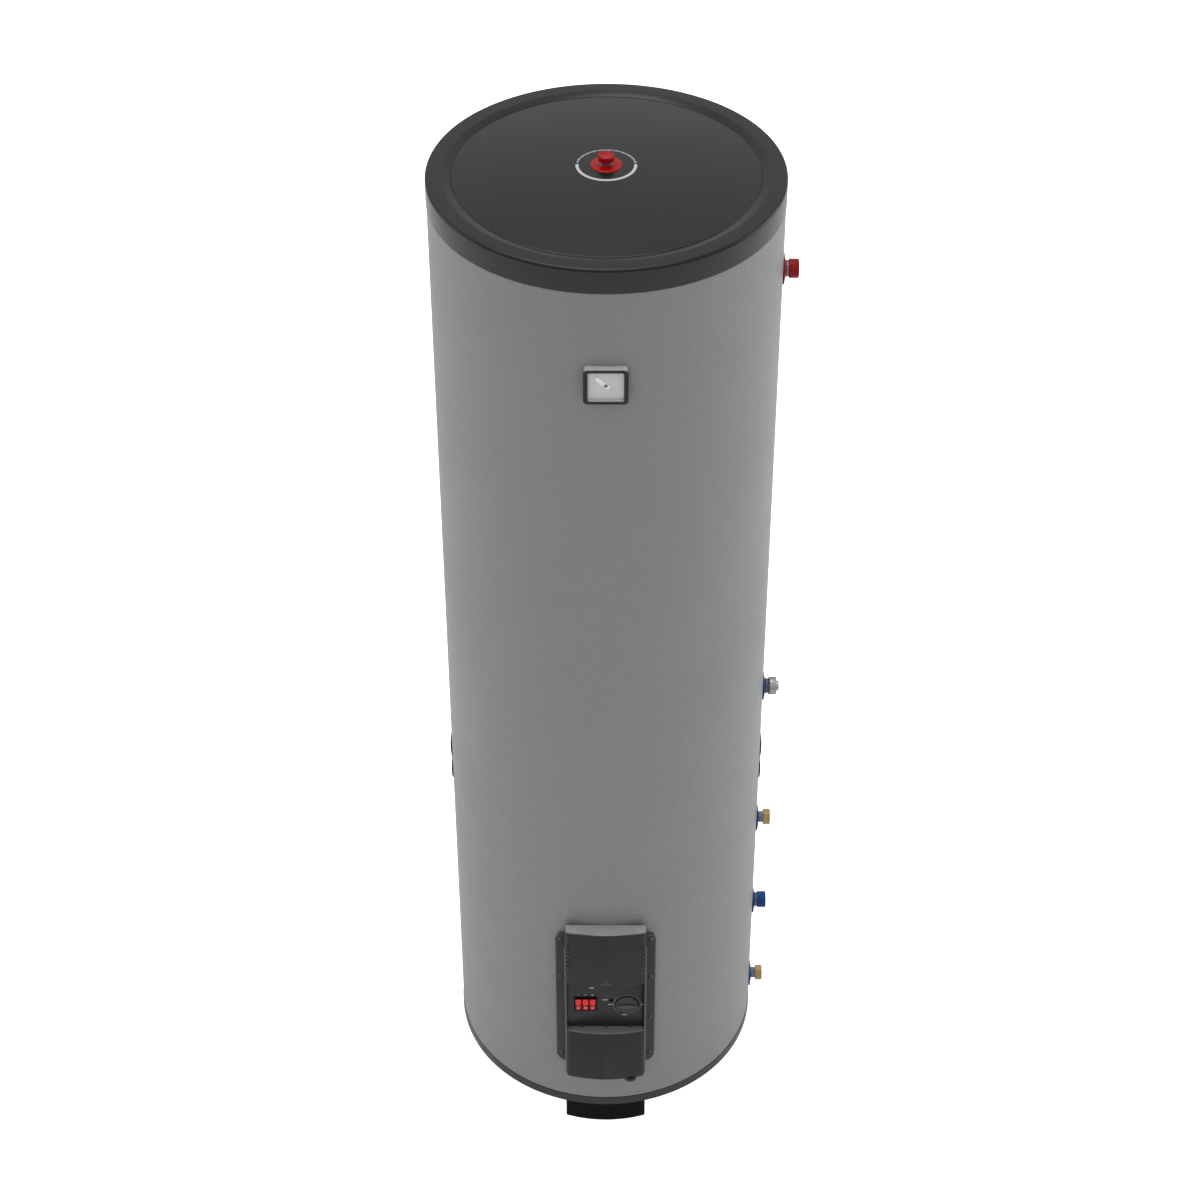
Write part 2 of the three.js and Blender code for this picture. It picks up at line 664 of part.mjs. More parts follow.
// ---------------------------------------------------------------- control housing
// The plan of the covers: slanting sides and a bowed front.
function coverPlan(inset, back) {
  const halfBack = coverHalfBack - inset;
  const halfFront = coverHalfFront - inset;
  const front = coverFront + inset;
  const bowRadius = (halfFront ** 2 + coverBow ** 2) / (2 * coverBow);
  const halfAngle = Math.asin(halfFront / bowRadius);
  const shape = new THREE.Shape();
  shape.moveTo(-halfBack, back);
  shape.lineTo(-halfFront - 0.4, front + coverBow + 2);
  shape.absarc(0, front + bowRadius, bowRadius, -Math.PI / 2 - halfAngle, -Math.PI / 2 + halfAngle);
  shape.lineTo(halfFront + 0.4, front + coverBow + 2);
  shape.lineTo(halfBack, back);
  return shape;
}

function addFrame() {
  const inner = jacketRadius + gap;
  const outer = jacketRadius + frameDepth;
  const ring = toSolid(sector(inner, outer, 0, 25, frameBottom, frameTop));
  const outline = roundedRectangle(-frameHalfWidth, frameHalfWidth, frameBottom, frameTop, 2 * frameCorner, frameCorner);
  const plate = toSolid(frontPlate(outline, -jacketRadius / 2, -2 * jacketRadius, 5));
  const frame = cut(ring.intersect(plate), housingOpening(-100), ...screwHoles(screwShank + gap));
  add('housing_frame', frame, housingPlastic);

  let number = 1;
  for (const side of [-1, 1]) {
    for (const height of screwHeights) {
      const seat = outer + gap;
      const screw = turnedX([
        [0, jacketRadius - jacketWall], [screwShank, jacketRadius - jacketWall], [screwShank, seat],
        [screwHead, seat], [screwHead - 0.8, seat + 2], [screwHead - 2.6, seat + 2.8], [0, seat + 2.8],
      ], 10);
      add(`housing_screw_${number}`, atScrew(screw, side, height), blackSteel);
      number += 1;
    }
  }
}

// The room that the frame takes behind the covers.
const frameRoom = () =>
  toSolid(sector(jacketRadius / 2, jacketRadius + frameDepth + gap, 0, 30, frameBottom - gap, frameTop + gap));

function addCovers() {
  const upperTop = upperCoverBottom + upperCoverHeight;
  const upperOutside = toSolid(floorPlate(coverPlan(0, coverBack), upperCoverBottom, upperTop));
  const inside = (bottom, top) => toSolid(floorPlate(coverPlan(coverWall, coverBack + 10), bottom, top));
  const behindPanel = (bottom, top) =>
    toSolid(block(-bayHalfWidth - gap, bayHalfWidth + gap, panelFront - gap, coverBack + 5, bottom, top));
  const slots = [];
  for (let row = 0; row < slotCount; row += 1) {
    for (const side of [-1, 1]) {
      const slot = block(-6.5, 6.5, -8, 8, -1.4, 1.4).rotateY(radians(-side * 32));
      const height = upperCoverBottom + 30 + row * slotPitch;
      slots.push(toSolid(slot.translate(side * (coverHalfFront - 7), coverFront + coverBow, height)));
    }
  }
  const upper = cut(
    upperOutside,
    inside(upperCoverBottom + coverWall, upperTop - coverWall),
    behindPanel(upperCoverBottom - 5, upperCoverBottom + coverWall + 1),
    frameRoom(),
    ...slots,
  );
  const arrow = new THREE.Shape();
  arrow.moveTo(-6.5, upperCoverBottom + 3);
  arrow.lineTo(6.5, upperCoverBottom + 3);
  arrow.lineTo(0, upperCoverBottom + 17);
  const raised = toSolid(frontPlate(arrow, coverFront + 1, coverFront - 0.5));
  add('upper_cover', join(upper, raised), housingPlastic);

  const lowerTop = upperCoverBottom - gap;
  const outline = roundedRectangle(-2 * coverHalfBack, 2 * coverHalfBack, coverBottom, lowerTop + 20, 1);
  const lowerOutside = toSolid(floorPlate(coverPlan(0.3, coverBack), coverBottom, lowerTop))
    .intersect(toSolid(frontPlate(outline, 0, -2 * jacketRadius)));
  const corner = roundedRectangle(-coverHalfBack, coverHalfBack, coverBottom, lowerTop + 20, coverCorner);
  const rounded = toSolid(frontPlate(corner, 0, -2 * jacketRadius));
  const bay = toSolid(block(
    -bayHalfWidth, bayHalfWidth, -2 * jacketRadius, coverBack + 5, ledgeHeight, lowerTop + 5,
  ));
  const ledgeSlots = [-1, 0, 1].map((step) => toSolid(block(
    step * ribSpacing - ribWidth / 2 - gap, step * ribSpacing + ribWidth / 2 + gap,
    panelFront - 4, panelFront + 5, ledgeHeight - coverWall - 1, ledgeHeight + 1,
  )));
  const glandHole = toSolid(disc(glandRadius - 4 + gap, 0, coverBottom + 10, 16)
    .translate(glandCentre, (coverFront + coverBack) / 2, 0));
  const lower = cut(
    lowerOutside.intersect(rounded),
    inside(coverBottom + coverWall, ledgeHeight - coverWall),
    bay,
    behindPanel(ledgeHeight - coverWall - 1, ledgeHeight + 1),
    frameRoom(),
    ...ledgeSlots,
    glandHole,
  );
  add('lower_cover', lower, housingPlastic);
}

function addPanel() {
  const back = panelFront + panelWall;
  const bottom = ledgeHeight - coverWall;
  const plate = toSolid(block(
    -bayHalfWidth + gap, bayHalfWidth - gap, panelFront, back, bottom, upperCoverBottom + panelRise,
  ));
  const ribs = [-1, 0, 1].map((step) => toSolid(block(
    step * ribSpacing - ribWidth / 2, step * ribSpacing + ribWidth / 2,
    panelFront - 1.4, panelFront + 1, bottom, ledgeHeight + ribHeight,
  )));
  const switchHole = toSolid(block(
    switchCentre - switchWidth / 2 + 1, switchCentre + switchWidth / 2 - 1, panelFront - 5, back + 5,
    rockerHeight - switchHeight / 2 + 1, rockerHeight + switchHeight / 2 - 1,
  ));
  const shaftHole = toSolid(discFront(shaftRadius + looseGap, back + 5, panelFront - 5, 16)
    .translate(knobCentre, 0, controlHeight));
  const resetHole = toSolid(discFront(resetRadius + gap, back + 5, panelFront - 5, 16)
    .translate(resetCentre, 0, resetHeight));
  add('control_panel', cut(join(plate, ...ribs), switchHole, shaftHole, resetHole), housingPlastic);
}

// ---------------------------------------------------------------- controls
function addSwitches() {
  const bezelBack = panelFront - gap;
  const bezelFront = bezelBack - 1.6;
  const bodyBack = panelFront + switchDepth;
  const halfWidth = switchWidth / 2;
  const halfHeight = switchHeight / 2;
  const frame = join(
    toSolid(block(
      switchCentre - halfWidth, switchCentre + halfWidth, bezelFront, bezelBack,
      rockerHeight - halfHeight, rockerHeight + halfHeight,
    )),
    toSolid(block(
      switchCentre - halfWidth + 1 + gap, switchCentre + halfWidth - 1 - gap, bezelBack - 0.5, bodyBack,
      rockerHeight - halfHeight + 1 + gap, rockerHeight + halfHeight - 1 - gap,
    )),
  );
  const places = Array.from({ length: rockerCount }, (_, index) =>
    switchCentre + (index - (rockerCount - 1) / 2) * rockerPitch);
  const pivot = panelFront + 3;
  const pocketHalf = rockerHalfHeight + 1.1;
  const pockets = places.map((x) => toSolid(block(
    x - rockerWidth / 2 - gap, x + rockerWidth / 2 + gap, bezelFront - 5, pivot + 9,
    rockerHeight - pocketHalf, rockerHeight + pocketHalf,
  )));
  add('switch_frame', cut(frame, ...pockets), blackRubber);

  const section = new THREE.Shape();
  section.moveTo(-5.7, -rockerHalfHeight);
  section.lineTo(-4.7, 0);
  section.lineTo(-5.7, rockerHalfHeight);
  section.lineTo(-1, rockerHalfHeight);
  section.lineTo(5, 5);
  section.lineTo(5, -5);
  section.lineTo(-1, -rockerHalfHeight);
  places.forEach((x, index) => {
    // The section holds Y and Z, and its thickness runs along X.
    const rocker = new THREE.ExtrudeGeometry(section, { depth: rockerWidth, bevelEnabled: false });
    rocker.rotateX(Math.PI / 2).rotateZ(Math.PI / 2).translate(0, 0, 0);
    const upright = toSolid(rocker);
    const box = upright.boundingBox();
    const centred = upright.translate([-(box.min[0] + box.max[0]) / 2, 0, 0]);
    const tilted = centred.rotate([rockerTilt, 0, 0]).translate([x, pivot, rockerHeight]);
    add(`rocker_switch_${index + 1}`, tilted, redPlastic);
  });
}

function addKnob() {
  const back = panelFront - gap;
  const front = back - knobDisc;
  const shaftBack = panelFront + panelWall + 18;
  const lens = new THREE.Shape();
  const half = knobRadius - 1;
  const thickness = 4.5;
  const bow = (half ** 2 + thickness ** 2) / (2 * thickness);
  const sweep = Math.asin(half / bow);
  lens.absarc(0, thickness - bow, bow, Math.PI / 2 + sweep, Math.PI / 2 - sweep, true);
  lens.absarc(0, bow - thickness, bow, -Math.PI / 2 + sweep, -Math.PI / 2 - sweep, true);
  const grip = toSolid(frontPlate(lens, front + 1, front - knobGrip, 10));
  const domed = toSolid(turnedFront([
    [0, -back], [knobRadius, -back], [knobRadius, -front - 1.5], [knobRadius - 1.5, -front], [0, -front],
  ], 32));
  const shaft = toSolid(discFront(shaftRadius, shaftBack, back - 0.5, 16));
  const knob = join(domed, grip, shaft).translate([knobCentre, 0, controlHeight]);
  add('thermostat_knob', knob, housingPlastic);

  const bodyFront = panelFront + panelWall + gap;
  const body = toSolid(block(knobCentre - 17, knobCentre + 17, bodyFront, bodyFront + 26, controlHeight - 22, controlHeight + 22));
  const bore = toSolid(discFront(shaftRadius + gap, bodyFront + 40, bodyFront - 5, 16)
    .translate(knobCentre, 0, controlHeight));
  add('thermostat_body', cut(body, bore), whitePlastic);
}

function addReset() {
  const front = panelFront + 0.6;
  const bodyFront = panelFront + panelWall + gap;
  const length = 12;
  const button = discFront(resetRadius, front + length, front, 16).translate(resetCentre, 0, resetHeight);
  add('reset_button', button, redPlastic);
  const body = toSolid(block(resetCentre - 10, resetCentre + 10, bodyFront, bodyFront + 20, resetHeight - 12, resetHeight + 12));
  const bore = toSolid(discFront(resetRadius + gap, front + length + 3.2, bodyFront - 5, 16)
    .translate(resetCentre, 0, resetHeight));
  add('thermal_cutout', cut(body, bore), blackRubber);
}

function addTerminals() {
  const back = -(vesselRadius + 2 * looseGap);
  const strip = toSolid(block(-34, 34, back - 18, back, 290, 310));
  const wells = [-24, -8, 8, 24].map((x) => toSolid(discFront(4, back - 10, back - 30, 8).translate(x, 0, 300)));
  add('terminal_block', cut(strip, ...wells), whitePlastic);

  const middle = (coverFront + coverBack) / 2;
  const top = coverBottom - gap;
  const gland = turned([
    [glandBore, top - glandReach], [glandRadius - 1.5, top - glandReach], [glandRadius, top - glandReach + 1.5],
    [glandRadius, top], [glandRadius - 4, top], [glandRadius - 4, coverBottom + coverWall + 5],
    [glandBore, coverBottom + coverWall + 5],
  ], 20);
  add('cable_gland', gland.translate(glandCentre, middle, 0), blackRubber);
}

// ---------------------------------------------------------------- assembly
addCasing();
addFeet();
addGrips();
addInsulation();
addVessel();
addCoil();
addHeating();
addPorts();
addThermometer();
addFrame();
addCovers();
addPanel();
addSwitches();
addKnob();
addReset();
addTerminals();

// The origin is the centre of the footprint, on the floor.
const bounds = new THREE.Box3().setFromObject(group);
const middle = bounds.getCenter(new THREE.Vector3());
group.position.set(-middle.x, -middle.y, -bounds.min.z);
group.updateMatrixWorld(true);

export default group;
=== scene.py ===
import json
import math

import bmesh
import bpy
from mathutils import Matrix, Vector


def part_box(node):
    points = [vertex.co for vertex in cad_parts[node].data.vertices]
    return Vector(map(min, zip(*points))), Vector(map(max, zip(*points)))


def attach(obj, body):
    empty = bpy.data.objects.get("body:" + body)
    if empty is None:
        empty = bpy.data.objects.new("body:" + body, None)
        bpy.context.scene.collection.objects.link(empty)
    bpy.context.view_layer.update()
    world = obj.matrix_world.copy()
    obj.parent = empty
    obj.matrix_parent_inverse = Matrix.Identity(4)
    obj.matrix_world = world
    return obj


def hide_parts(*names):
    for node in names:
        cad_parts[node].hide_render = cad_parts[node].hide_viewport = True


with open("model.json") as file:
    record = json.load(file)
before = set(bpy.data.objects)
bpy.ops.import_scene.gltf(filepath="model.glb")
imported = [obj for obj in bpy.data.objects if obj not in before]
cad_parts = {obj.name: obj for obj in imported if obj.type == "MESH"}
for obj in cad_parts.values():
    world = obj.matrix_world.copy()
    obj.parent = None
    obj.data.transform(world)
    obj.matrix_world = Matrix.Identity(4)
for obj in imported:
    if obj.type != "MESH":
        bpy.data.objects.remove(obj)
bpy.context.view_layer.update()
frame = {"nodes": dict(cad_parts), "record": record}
print("frame loaded,", len(frame["nodes"]), "nodes")

mm = 0.001
jacketLow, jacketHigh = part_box("outer_jacket")
tankX = (jacketLow.x + jacketHigh.x) / 2  # the tank's upright axis
tankY = (jacketLow.y + jacketHigh.y) / 2

# the camera stands in front of the tank and looks down on it
cameraSpot = {
    "side": 0.0078695,  # from the tank's axis, in metres
    "front": -3.689287,
    "height": 4.149934,
    "pitch": 39.4594,  # degrees below the horizon
    "yaw": 0.28759,
    "roll": -0.07318,
    "lens": 82.2036,
}
bpy.ops.object.camera_add()
camera = bpy.context.object
camera.name = "frontCamera"
camera.data.lens = cameraSpot["lens"]
camera.data.sensor_width = 36
camera.data.clip_end = 100
turn = (
    Matrix.Rotation(math.radians(cameraSpot["yaw"]), 4, "Z")
    @ Matrix.Rotation(math.radians(90 - cameraSpot["pitch"]), 4, "X")
    @ Matrix.Rotation(math.radians(cameraSpot["roll"]), 4, "Z")
)
place = Matrix.Translation((tankX + cameraSpot["side"], tankY + cameraSpot["front"], cameraSpot["height"]))
camera.matrix_world = place @ turn
bpy.context.scene.camera = camera
print("camera set")


# Pieces are drawn about the tank's axis in metres and moved to the frame's place when they are finished.
def clearPick():
    if bpy.context.object and bpy.context.object.mode != "OBJECT":
        bpy.ops.object.mode_set(mode="OBJECT")
    bpy.ops.object.select_all(action="DESELECT")


def pickOnly(piece):
    clearPick()
    piece.select_set(True)
    bpy.context.view_layer.objects.active = piece


def applyPlace(piece):
    pickOnly(piece)
    bpy.ops.object.transform_apply(location=True, rotation=True, scale=True)


def editPiece(piece):
    pickOnly(piece)
    bpy.ops.object.mode_set(mode="EDIT")
    bpy.ops.mesh.select_all(action="DESELECT")


def leaveEdit():
    bpy.ops.object.mode_set(mode="OBJECT")


def pickAll():
    bpy.ops.mesh.select_all(action="SELECT")


def weld():
    pickAll()
    bpy.ops.mesh.remove_doubles(threshold=0.01 * mm)
    pickAll()


def placePiece(piece, spot=(0, 0, 0), turned=(0, 0, 0)):
    # spot is in millimetres, turned in radians
    piece.rotation_euler = turned
    piece.location = [value * mm for value in spot]
    applyPlace(piece)


def spinPicked(steps, angle):
    pickAll()
    bpy.ops.mesh.spin(steps=steps, angle=angle, center=(0, 0, 0), axis=(0, 0, 1))
    weld()


def nameNew(name):
    piece = bpy.context.object
    piece.name = name
    piece.data.name = name
    return piece


def pickEdges(piece, test):
    # test is given an edge's middle and direction
    bpy.ops.mesh.select_mode(type="EDGE")
    mesh = bmesh.from_edit_mesh(piece.data)
    for edge in mesh.edges:
        first, second = edge.verts[0].co, edge.verts[1].co
        span = second - first
        chosen = span.length > 1e-9 and test((first + second) / 2, span.normalized())
        edge.select_set(bool(chosen))
    mesh.select_flush_mode()
    bmesh.update_edit_mesh(piece.data)


def pickFaces(piece, test):
    # test is given a face's middle and normal
    bpy.ops.mesh.select_mode(type="FACE")
    mesh = bmesh.from_edit_mesh(piece.data)
    for face in mesh.faces:
        face.select_set(bool(test(face.calc_center_median(), face.normal)))
    mesh.select_flush_mode()
    bmesh.update_edit_mesh(piece.data)


def bevelPicked(width, segments=4):
    bpy.ops.mesh.bevel(offset=width * mm, segments=segments, profile=0.5, affect="EDGES", clamp_overlap=True)


def startWire(name, profile):
    clearPick()
    bpy.ops.mesh.primitive_plane_add(size=mm, location=(0, 0, 0))
    piece = nameNew(name)
    bpy.ops.object.mode_set(mode="EDIT")
    bpy.ops.mesh.select_mode(type="VERT")
    pickAll()
    bpy.ops.mesh.merge(type="CENTER")
    bpy.ops.transform.translate(value=(profile[0][0] * mm, 0, profile[0][1] * mm))
    for before, after in zip(profile, profile[1:]):
        step = ((after[0] - before[0]) * mm, 0, (after[1] - before[1]) * mm)
        bpy.ops.mesh.extrude_region_move(TRANSFORM_OT_translate={"value": step})
    return piece


facings = {"up": (0, 0, 0), "right": (0, math.pi / 2, 0), "front": (math.pi / 2, 0, 0)}


def lathe(name, profile, steps=96, facing="up", centre=(0, 0, 0)):
    # a profile of (radius, height) pairs in millimetres, spun right round
    piece = startWire(name, profile)
    spinPicked(steps, 2 * math.pi)
    bpy.ops.mesh.normals_make_consistent(inside=False)
    leaveEdit()
    placePiece(piece, centre, facings[facing])
    return piece


def ringBand(inner, outer, low, high):
    return [(inner, low), (outer, low), (outer, high), (inner, high), (inner, low)]


def sweep(name, profile, middle, angle, steps, facing="up", centre=(0, 0, 0)):
    # a closed profile spun through part of a turn; middle is counted from the front, in degrees
    piece = startWire(name, profile)
    weld()
    spinPicked(steps, math.radians(angle))
    bpy.ops.mesh.fill_holes(sides=0)
    pickAll()
    bpy.ops.mesh.normals_make_consistent(inside=False)
    leaveEdit()
    total = sum((vertex.co for vertex in piece.data.vertices), Vector())
    actual = math.atan2(total.y, total.x)
    placePiece(piece, turned=(0, 0, math.radians(middle - 90) - actual))
    placePiece(piece, centre, facings[facing])
    return piece


def block(name, low, high):
    # a box between two corners in millimetres
    clearPick()
    centre = [(a + b) / 2 * mm for a, b in zip(low, high)]
    bpy.ops.mesh.primitive_cube_add(size=1, location=centre)
    piece = nameNew(name)
    piece.scale = [(b - a) * mm for a, b in zip(low, high)]
    applyPlace(piece)
    return piece


def plate(name, low, high, corner, edge=0.0, edgeSteps=3, cornerSteps=8):
    # a block facing the front with rounded corners, given as one radius or (lower, upper)
    lower, upper = corner if isinstance(corner, tuple) else (corner, corner)
    piece = block(name, low, high)
    middle = (low[2] + high[2]) / 2 * mm
    editPiece(piece)
    if lower > 0:
        pickEdges(piece, lambda at, way: abs(way.y) > 0.9 and at.z < middle)
        bevelPicked(lower, cornerSteps)
    if upper > 0:
        sides = (low[0] * mm, high[0] * mm)
        pickEdges(piece, lambda at, way: abs(way.y) > 0.9 and at.z > middle
                  and min(abs(at.x - side) for side in sides) < 1e-5)
        bevelPicked(upper, cornerSteps)
    if edge > 0:
        front = low[1] * mm
        pickEdges(piece, lambda at, way: abs(at.y - front) < 1e-6 and abs(way.y) < 0.1)
        bevelPicked(edge, edgeSteps)
    leaveEdit()
    return piece


def sliceAcross(piece, positions, way="x"):
    # cuts across the whole piece, so that it can be curved
    normal = {"x": (1, 0, 0), "y": (0, 1, 0), "z": (0, 0, 1)}[way]
    editPiece(piece)
    for position in positions:
        pickAll()
        point = [value * position * mm for value in normal]
        bpy.ops.mesh.bisect(plane_co=point, plane_no=normal, use_fill=False)
    leaveEdit()


def wrapRound(piece, radius):
    # a flat piece in front of the tank is laid round it; distances across are kept at that radius
    for vertex in piece.data.vertices:
        reach = -vertex.co.y
        angle = vertex.co.x / (radius * mm)
        vertex.co.x = reach * math.sin(angle)
        vertex.co.y = -reach * math.cos(angle)


def steps(low, high, size):
    count = max(1, round((high - low) / size))
    return [low + (high - low) * index / count for index in range(count + 1)]


def useModifier(piece, kind, **settings):
    pickOnly(piece)
    modifier = piece.modifiers.new(kind.lower(), kind)
    for key, value in settings.items():
        setattr(modifier, key, value)
    bpy.ops.object.modifier_apply(modifier=modifier.name)


def softenEdges(piece, width, segments=2, angle=35):
    useModifier(
        piece, "BEVEL", width=width * mm, segments=segments, limit_method="ANGLE",
        angle_limit=math.radians(angle), harden_normals=False,
    )


def combine(piece, tool, operation):
    pickOnly(piece)
    modifier = piece.modifiers.new("cut", "BOOLEAN")
    modifier.operation = operation
    modifier.object = tool
    modifier.solver = "EXACT"
    bpy.ops.object.modifier_apply(modifier=modifier.name)
    bpy.data.objects.remove(tool, do_unlink=True)


def cutAway(piece, tool):
    combine(piece, tool, "DIFFERENCE")


def joinPieces(first, *others, name=None):
    pickOnly(first)
    for other in others:
        other.select_set(True)
    bpy.ops.object.join()
    if name:
        first.name = name
    return first


def copyPiece(piece, name):
    pickOnly(piece)
    bpy.ops.object.duplicate(linked=False)
    copied = bpy.context.object
    copied.name = name
    copied.data.name = name
    return copied


def addFinish(piece, name):
    piece.data.materials.append(finishes[name])


def finishPiece(piece, finish, slot, body="heater", stands=(), smooth=32):
    # smooth shading, the frame's place, the finish's name if one covers it all, and the body it rides on
    piece.location = (tankX, tankY, 0)
    applyPlace(piece)
    bpy.ops.object.shade_smooth_by_angle(angle=math.radians(smooth))
    if finish:
        piece.data.materials.clear()
        addFinish(piece, finish)
    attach(piece, body)
    if stands:
        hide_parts(*stands)
    return piece


def newGroup(name, inputs, outputs):
    group = bpy.data.node_groups.new(name, "ShaderNodeTree")
    for socket, kind, value in inputs:
        item = group.interface.new_socket(name=socket, in_out="INPUT", socket_type=kind)
        item.default_value = value
    for socket, kind in outputs:
        group.interface.new_socket(name=socket, in_out="OUTPUT", socket_type=kind)
    return group, group.nodes.new("NodeGroupInput"), group.nodes.new("NodeGroupOutput")


def addNode(tree, kind, **values):
    node = tree.nodes.new("ShaderNode" + kind)
    for name, value in values.items():
        setattr(node, name, value)
    return node


def setInputs(node, values):
    for name, value in values.items():
        node.inputs[name].default_value = value
    return node


def addGroup(tree, group, values):
    return setInputs(addNode(tree, "Group", node_tree=group), values)


def mathNode(tree, operation, first, second=None):
    node = addNode(tree, "Math", operation=operation)
    for index, value in enumerate((first, second)):
        if value is None:
            continue
        if isinstance(value, (int, float)):
            node.inputs[index].default_value = value
        else:
            tree.links.new(value, node.inputs[index])
    return node.outputs[0]


def makeToneDrift():
    # slow cloudy changes of tone and gloss, as a moulded or painted surface has
    group, into, out = newGroup(
        "toneDrift",
        (
            ("Light tone", "NodeSocketColor", (0.5, 0.5, 0.5, 1)),
            ("Dark tone", "NodeSocketColor", (0.4, 0.4, 0.4, 1)),
            ("Scale", "NodeSocketFloat", 8.0),
            ("Gloss low", "NodeSocketFloat", 0.35),
            ("Gloss high", "NodeSocketFloat", 0.45),
        ),
        (("Color", "NodeSocketColor"), ("Roughness", "NodeSocketFloat")),
    )
    spot = addNode(group, "TexCoord")
    clouds = setInputs(addNode(group, "TexNoise"), {"Detail": 3})
    group.links.new(spot.outputs["Object"], clouds.inputs["Vector"])
    group.links.new(into.outputs["Scale"], clouds.inputs["Scale"])
    mix = addNode(group, "Mix", data_type="RGBA")
    group.links.new(clouds.outputs["Fac"], mix.inputs["Factor"])
    group.links.new(into.outputs["Light tone"], mix.inputs[6])
    group.links.new(into.outputs["Dark tone"], mix.inputs[7])
    gloss = setInputs(addNode(group, "MapRange"), {"From Min": 0.3, "From Max": 0.7})
    group.links.new(clouds.outputs["Fac"], gloss.inputs["Value"])
    group.links.new(into.outputs["Gloss low"], gloss.inputs["To Min"])
    group.links.new(into.outputs["Gloss high"], gloss.inputs["To Max"])
    group.links.new(mix.outputs[2], out.inputs["Color"])
    group.links.new(gloss.outputs[0], out.inputs["Roughness"])
    return group


def makePaintedTopLight():
    # painted light: faces that look up are given a lighter colour, a painted top light chosen to match the studio
    # light, not a second material
    group, into, out = newGroup(
        "upwardTone",
        (
            ("Color", "NodeSocketColor", (0.1, 0.1, 0.1, 1)),
            ("Upward", "NodeSocketColor", (0.2, 0.2, 0.2, 1)),
        ),
        (("Color", "NodeSocketColor"),),
    )
    shape = addNode(group, "NewGeometry")
    split = addNode(group, "SeparateXYZ")
    group.links.new(shape.outputs["Normal"], split.inputs[0])
    share = addNode(group, "MapRange", interpolation_type="SMOOTHSTEP")
    setInputs(share, {"From Min": 0.12, "From Max": 0.95})
    group.links.new(split.outputs["Z"], share.inputs["Value"])
    mix = addNode(group, "Mix", data_type="RGBA")
    group.links.new(share.outputs[0], mix.inputs["Factor"])
    group.links.new(into.outputs["Color"], mix.inputs[6])
    group.links.new(into.outputs["Upward"], mix.inputs[7])
    group.links.new(mix.outputs[2], out.inputs["Color"])
    return group


def makeFineGrain():
    # the pebbled skin of a moulding, or the orange peel of a coat of paint
    group, into, out = newGroup(
        "fineGrain",
        (("Grain", "NodeSocketFloat", 900.0), ("Swell", "NodeSocketFloat", 120.0),
            ("Share", "NodeSocketFloat", 0.3)),
        (("Height", "NodeSocketFloat"),),
    )
    spot = addNode(group, "TexCoord")
    fine = setInputs(addNode(group, "TexNoise"), {"Detail": 2})
    broad = setInputs(addNode(group, "TexNoise"), {"Detail": 1})
    for node, socket in ((fine, "Grain"), (broad, "Swell")):
        group.links.new(spot.outputs["Object"], node.inputs["Vector"])
        group.links.new(into.outputs[socket], node.inputs["Scale"])
    mix = addNode(group, "Mix", data_type="FLOAT")
    group.links.new(into.outputs["Share"], mix.inputs["Factor"])
    group.links.new(fine.outputs["Fac"], mix.inputs[2])
    group.links.new(broad.outputs["Fac"], mix.inputs[3])
    group.links.new(mix.outputs[0], out.inputs["Height"])
    return group


def makeTurningMarks():
    # fine rings that a lathe leaves, running round the axis that Along gives
    group, into, out = newGroup(
        "turningMarks",
        (("Along", "NodeSocketVector", (1, 0, 0)), ("Pitch", "NodeSocketFloat", 2600.0)),
        (("Height", "NodeSocketFloat"),),
    )
    spot = addNode(group, "TexCoord")
    dot = addNode(group, "VectorMath", operation="DOT_PRODUCT")
    group.links.new(spot.outputs["Object"], dot.inputs[0])
    group.links.new(into.outputs["Along"], dot.inputs[1])
    scaled = mathNode(group, "MULTIPLY", dot.outputs["Value"], into.outputs["Pitch"])
    noise = setInputs(addNode(group, "TexNoise", noise_dimensions="1D"), {"Scale": 1, "Detail": 2})
    group.links.new(scaled, noise.inputs["W"])
    group.links.new(noise.outputs["Fac"], out.inputs["Height"])
    return group


toneDrift = makeToneDrift()
upwardTone = makePaintedTopLight()
fineGrain = makeFineGrain()
turningMarks = makeTurningMarks()


def makeFinish(name, look):
    # look holds light and dark tones, gloss range, metal, relief and other shader values
    material = bpy.data.materials.new(name)
    material.use_nodes = True
    tree = material.node_tree
    shader = tree.nodes["Principled BSDF"]
    tone = addGroup(tree, toneDrift, {
        "Light tone": (*look["light"], 1), "Dark tone": (*look["dark"], 1), "Scale": look.get("drift", 8),
        "Gloss low": look["gloss"][0], "Gloss high": look["gloss"][1],
    })
    color = tone.outputs["Color"]
    # painted top light: faces that look up take the look's lighter colour
    if "upward" in look:
        lift = addGroup(tree, upwardTone, {"Upward": (*look["upward"], 1)})
        tree.links.new(color, lift.inputs["Color"])
        color = lift.outputs["Color"]
    tree.links.new(color, shader.inputs["Base Color"])
    tree.links.new(tone.outputs["Roughness"], shader.inputs["Roughness"])
    setInputs(shader, {"Metallic": look.get("metal", 0), "Specular IOR Level": look.get("specular", 0.5)})
    relief = look["relief"]
    if "along" in relief:
        grain = addGroup(tree, turningMarks, {"Along": relief["along"], "Pitch": relief["grain"]})
    else:
        grain = addGroup(tree, fineGrain, {
            "Grain": relief["grain"], "Swell": relief["swell"], "Share": relief.get("share", 0.3),
        })
    bump = setInputs(addNode(tree, "Bump"), {"Strength": relief["strength"], "Distance": relief["height"] * mm})
    tree.links.new(grain.outputs["Height"], bump.inputs["Height"])
    tree.links.new(bump.outputs["Normal"], shader.inputs["Normal"])
    return material


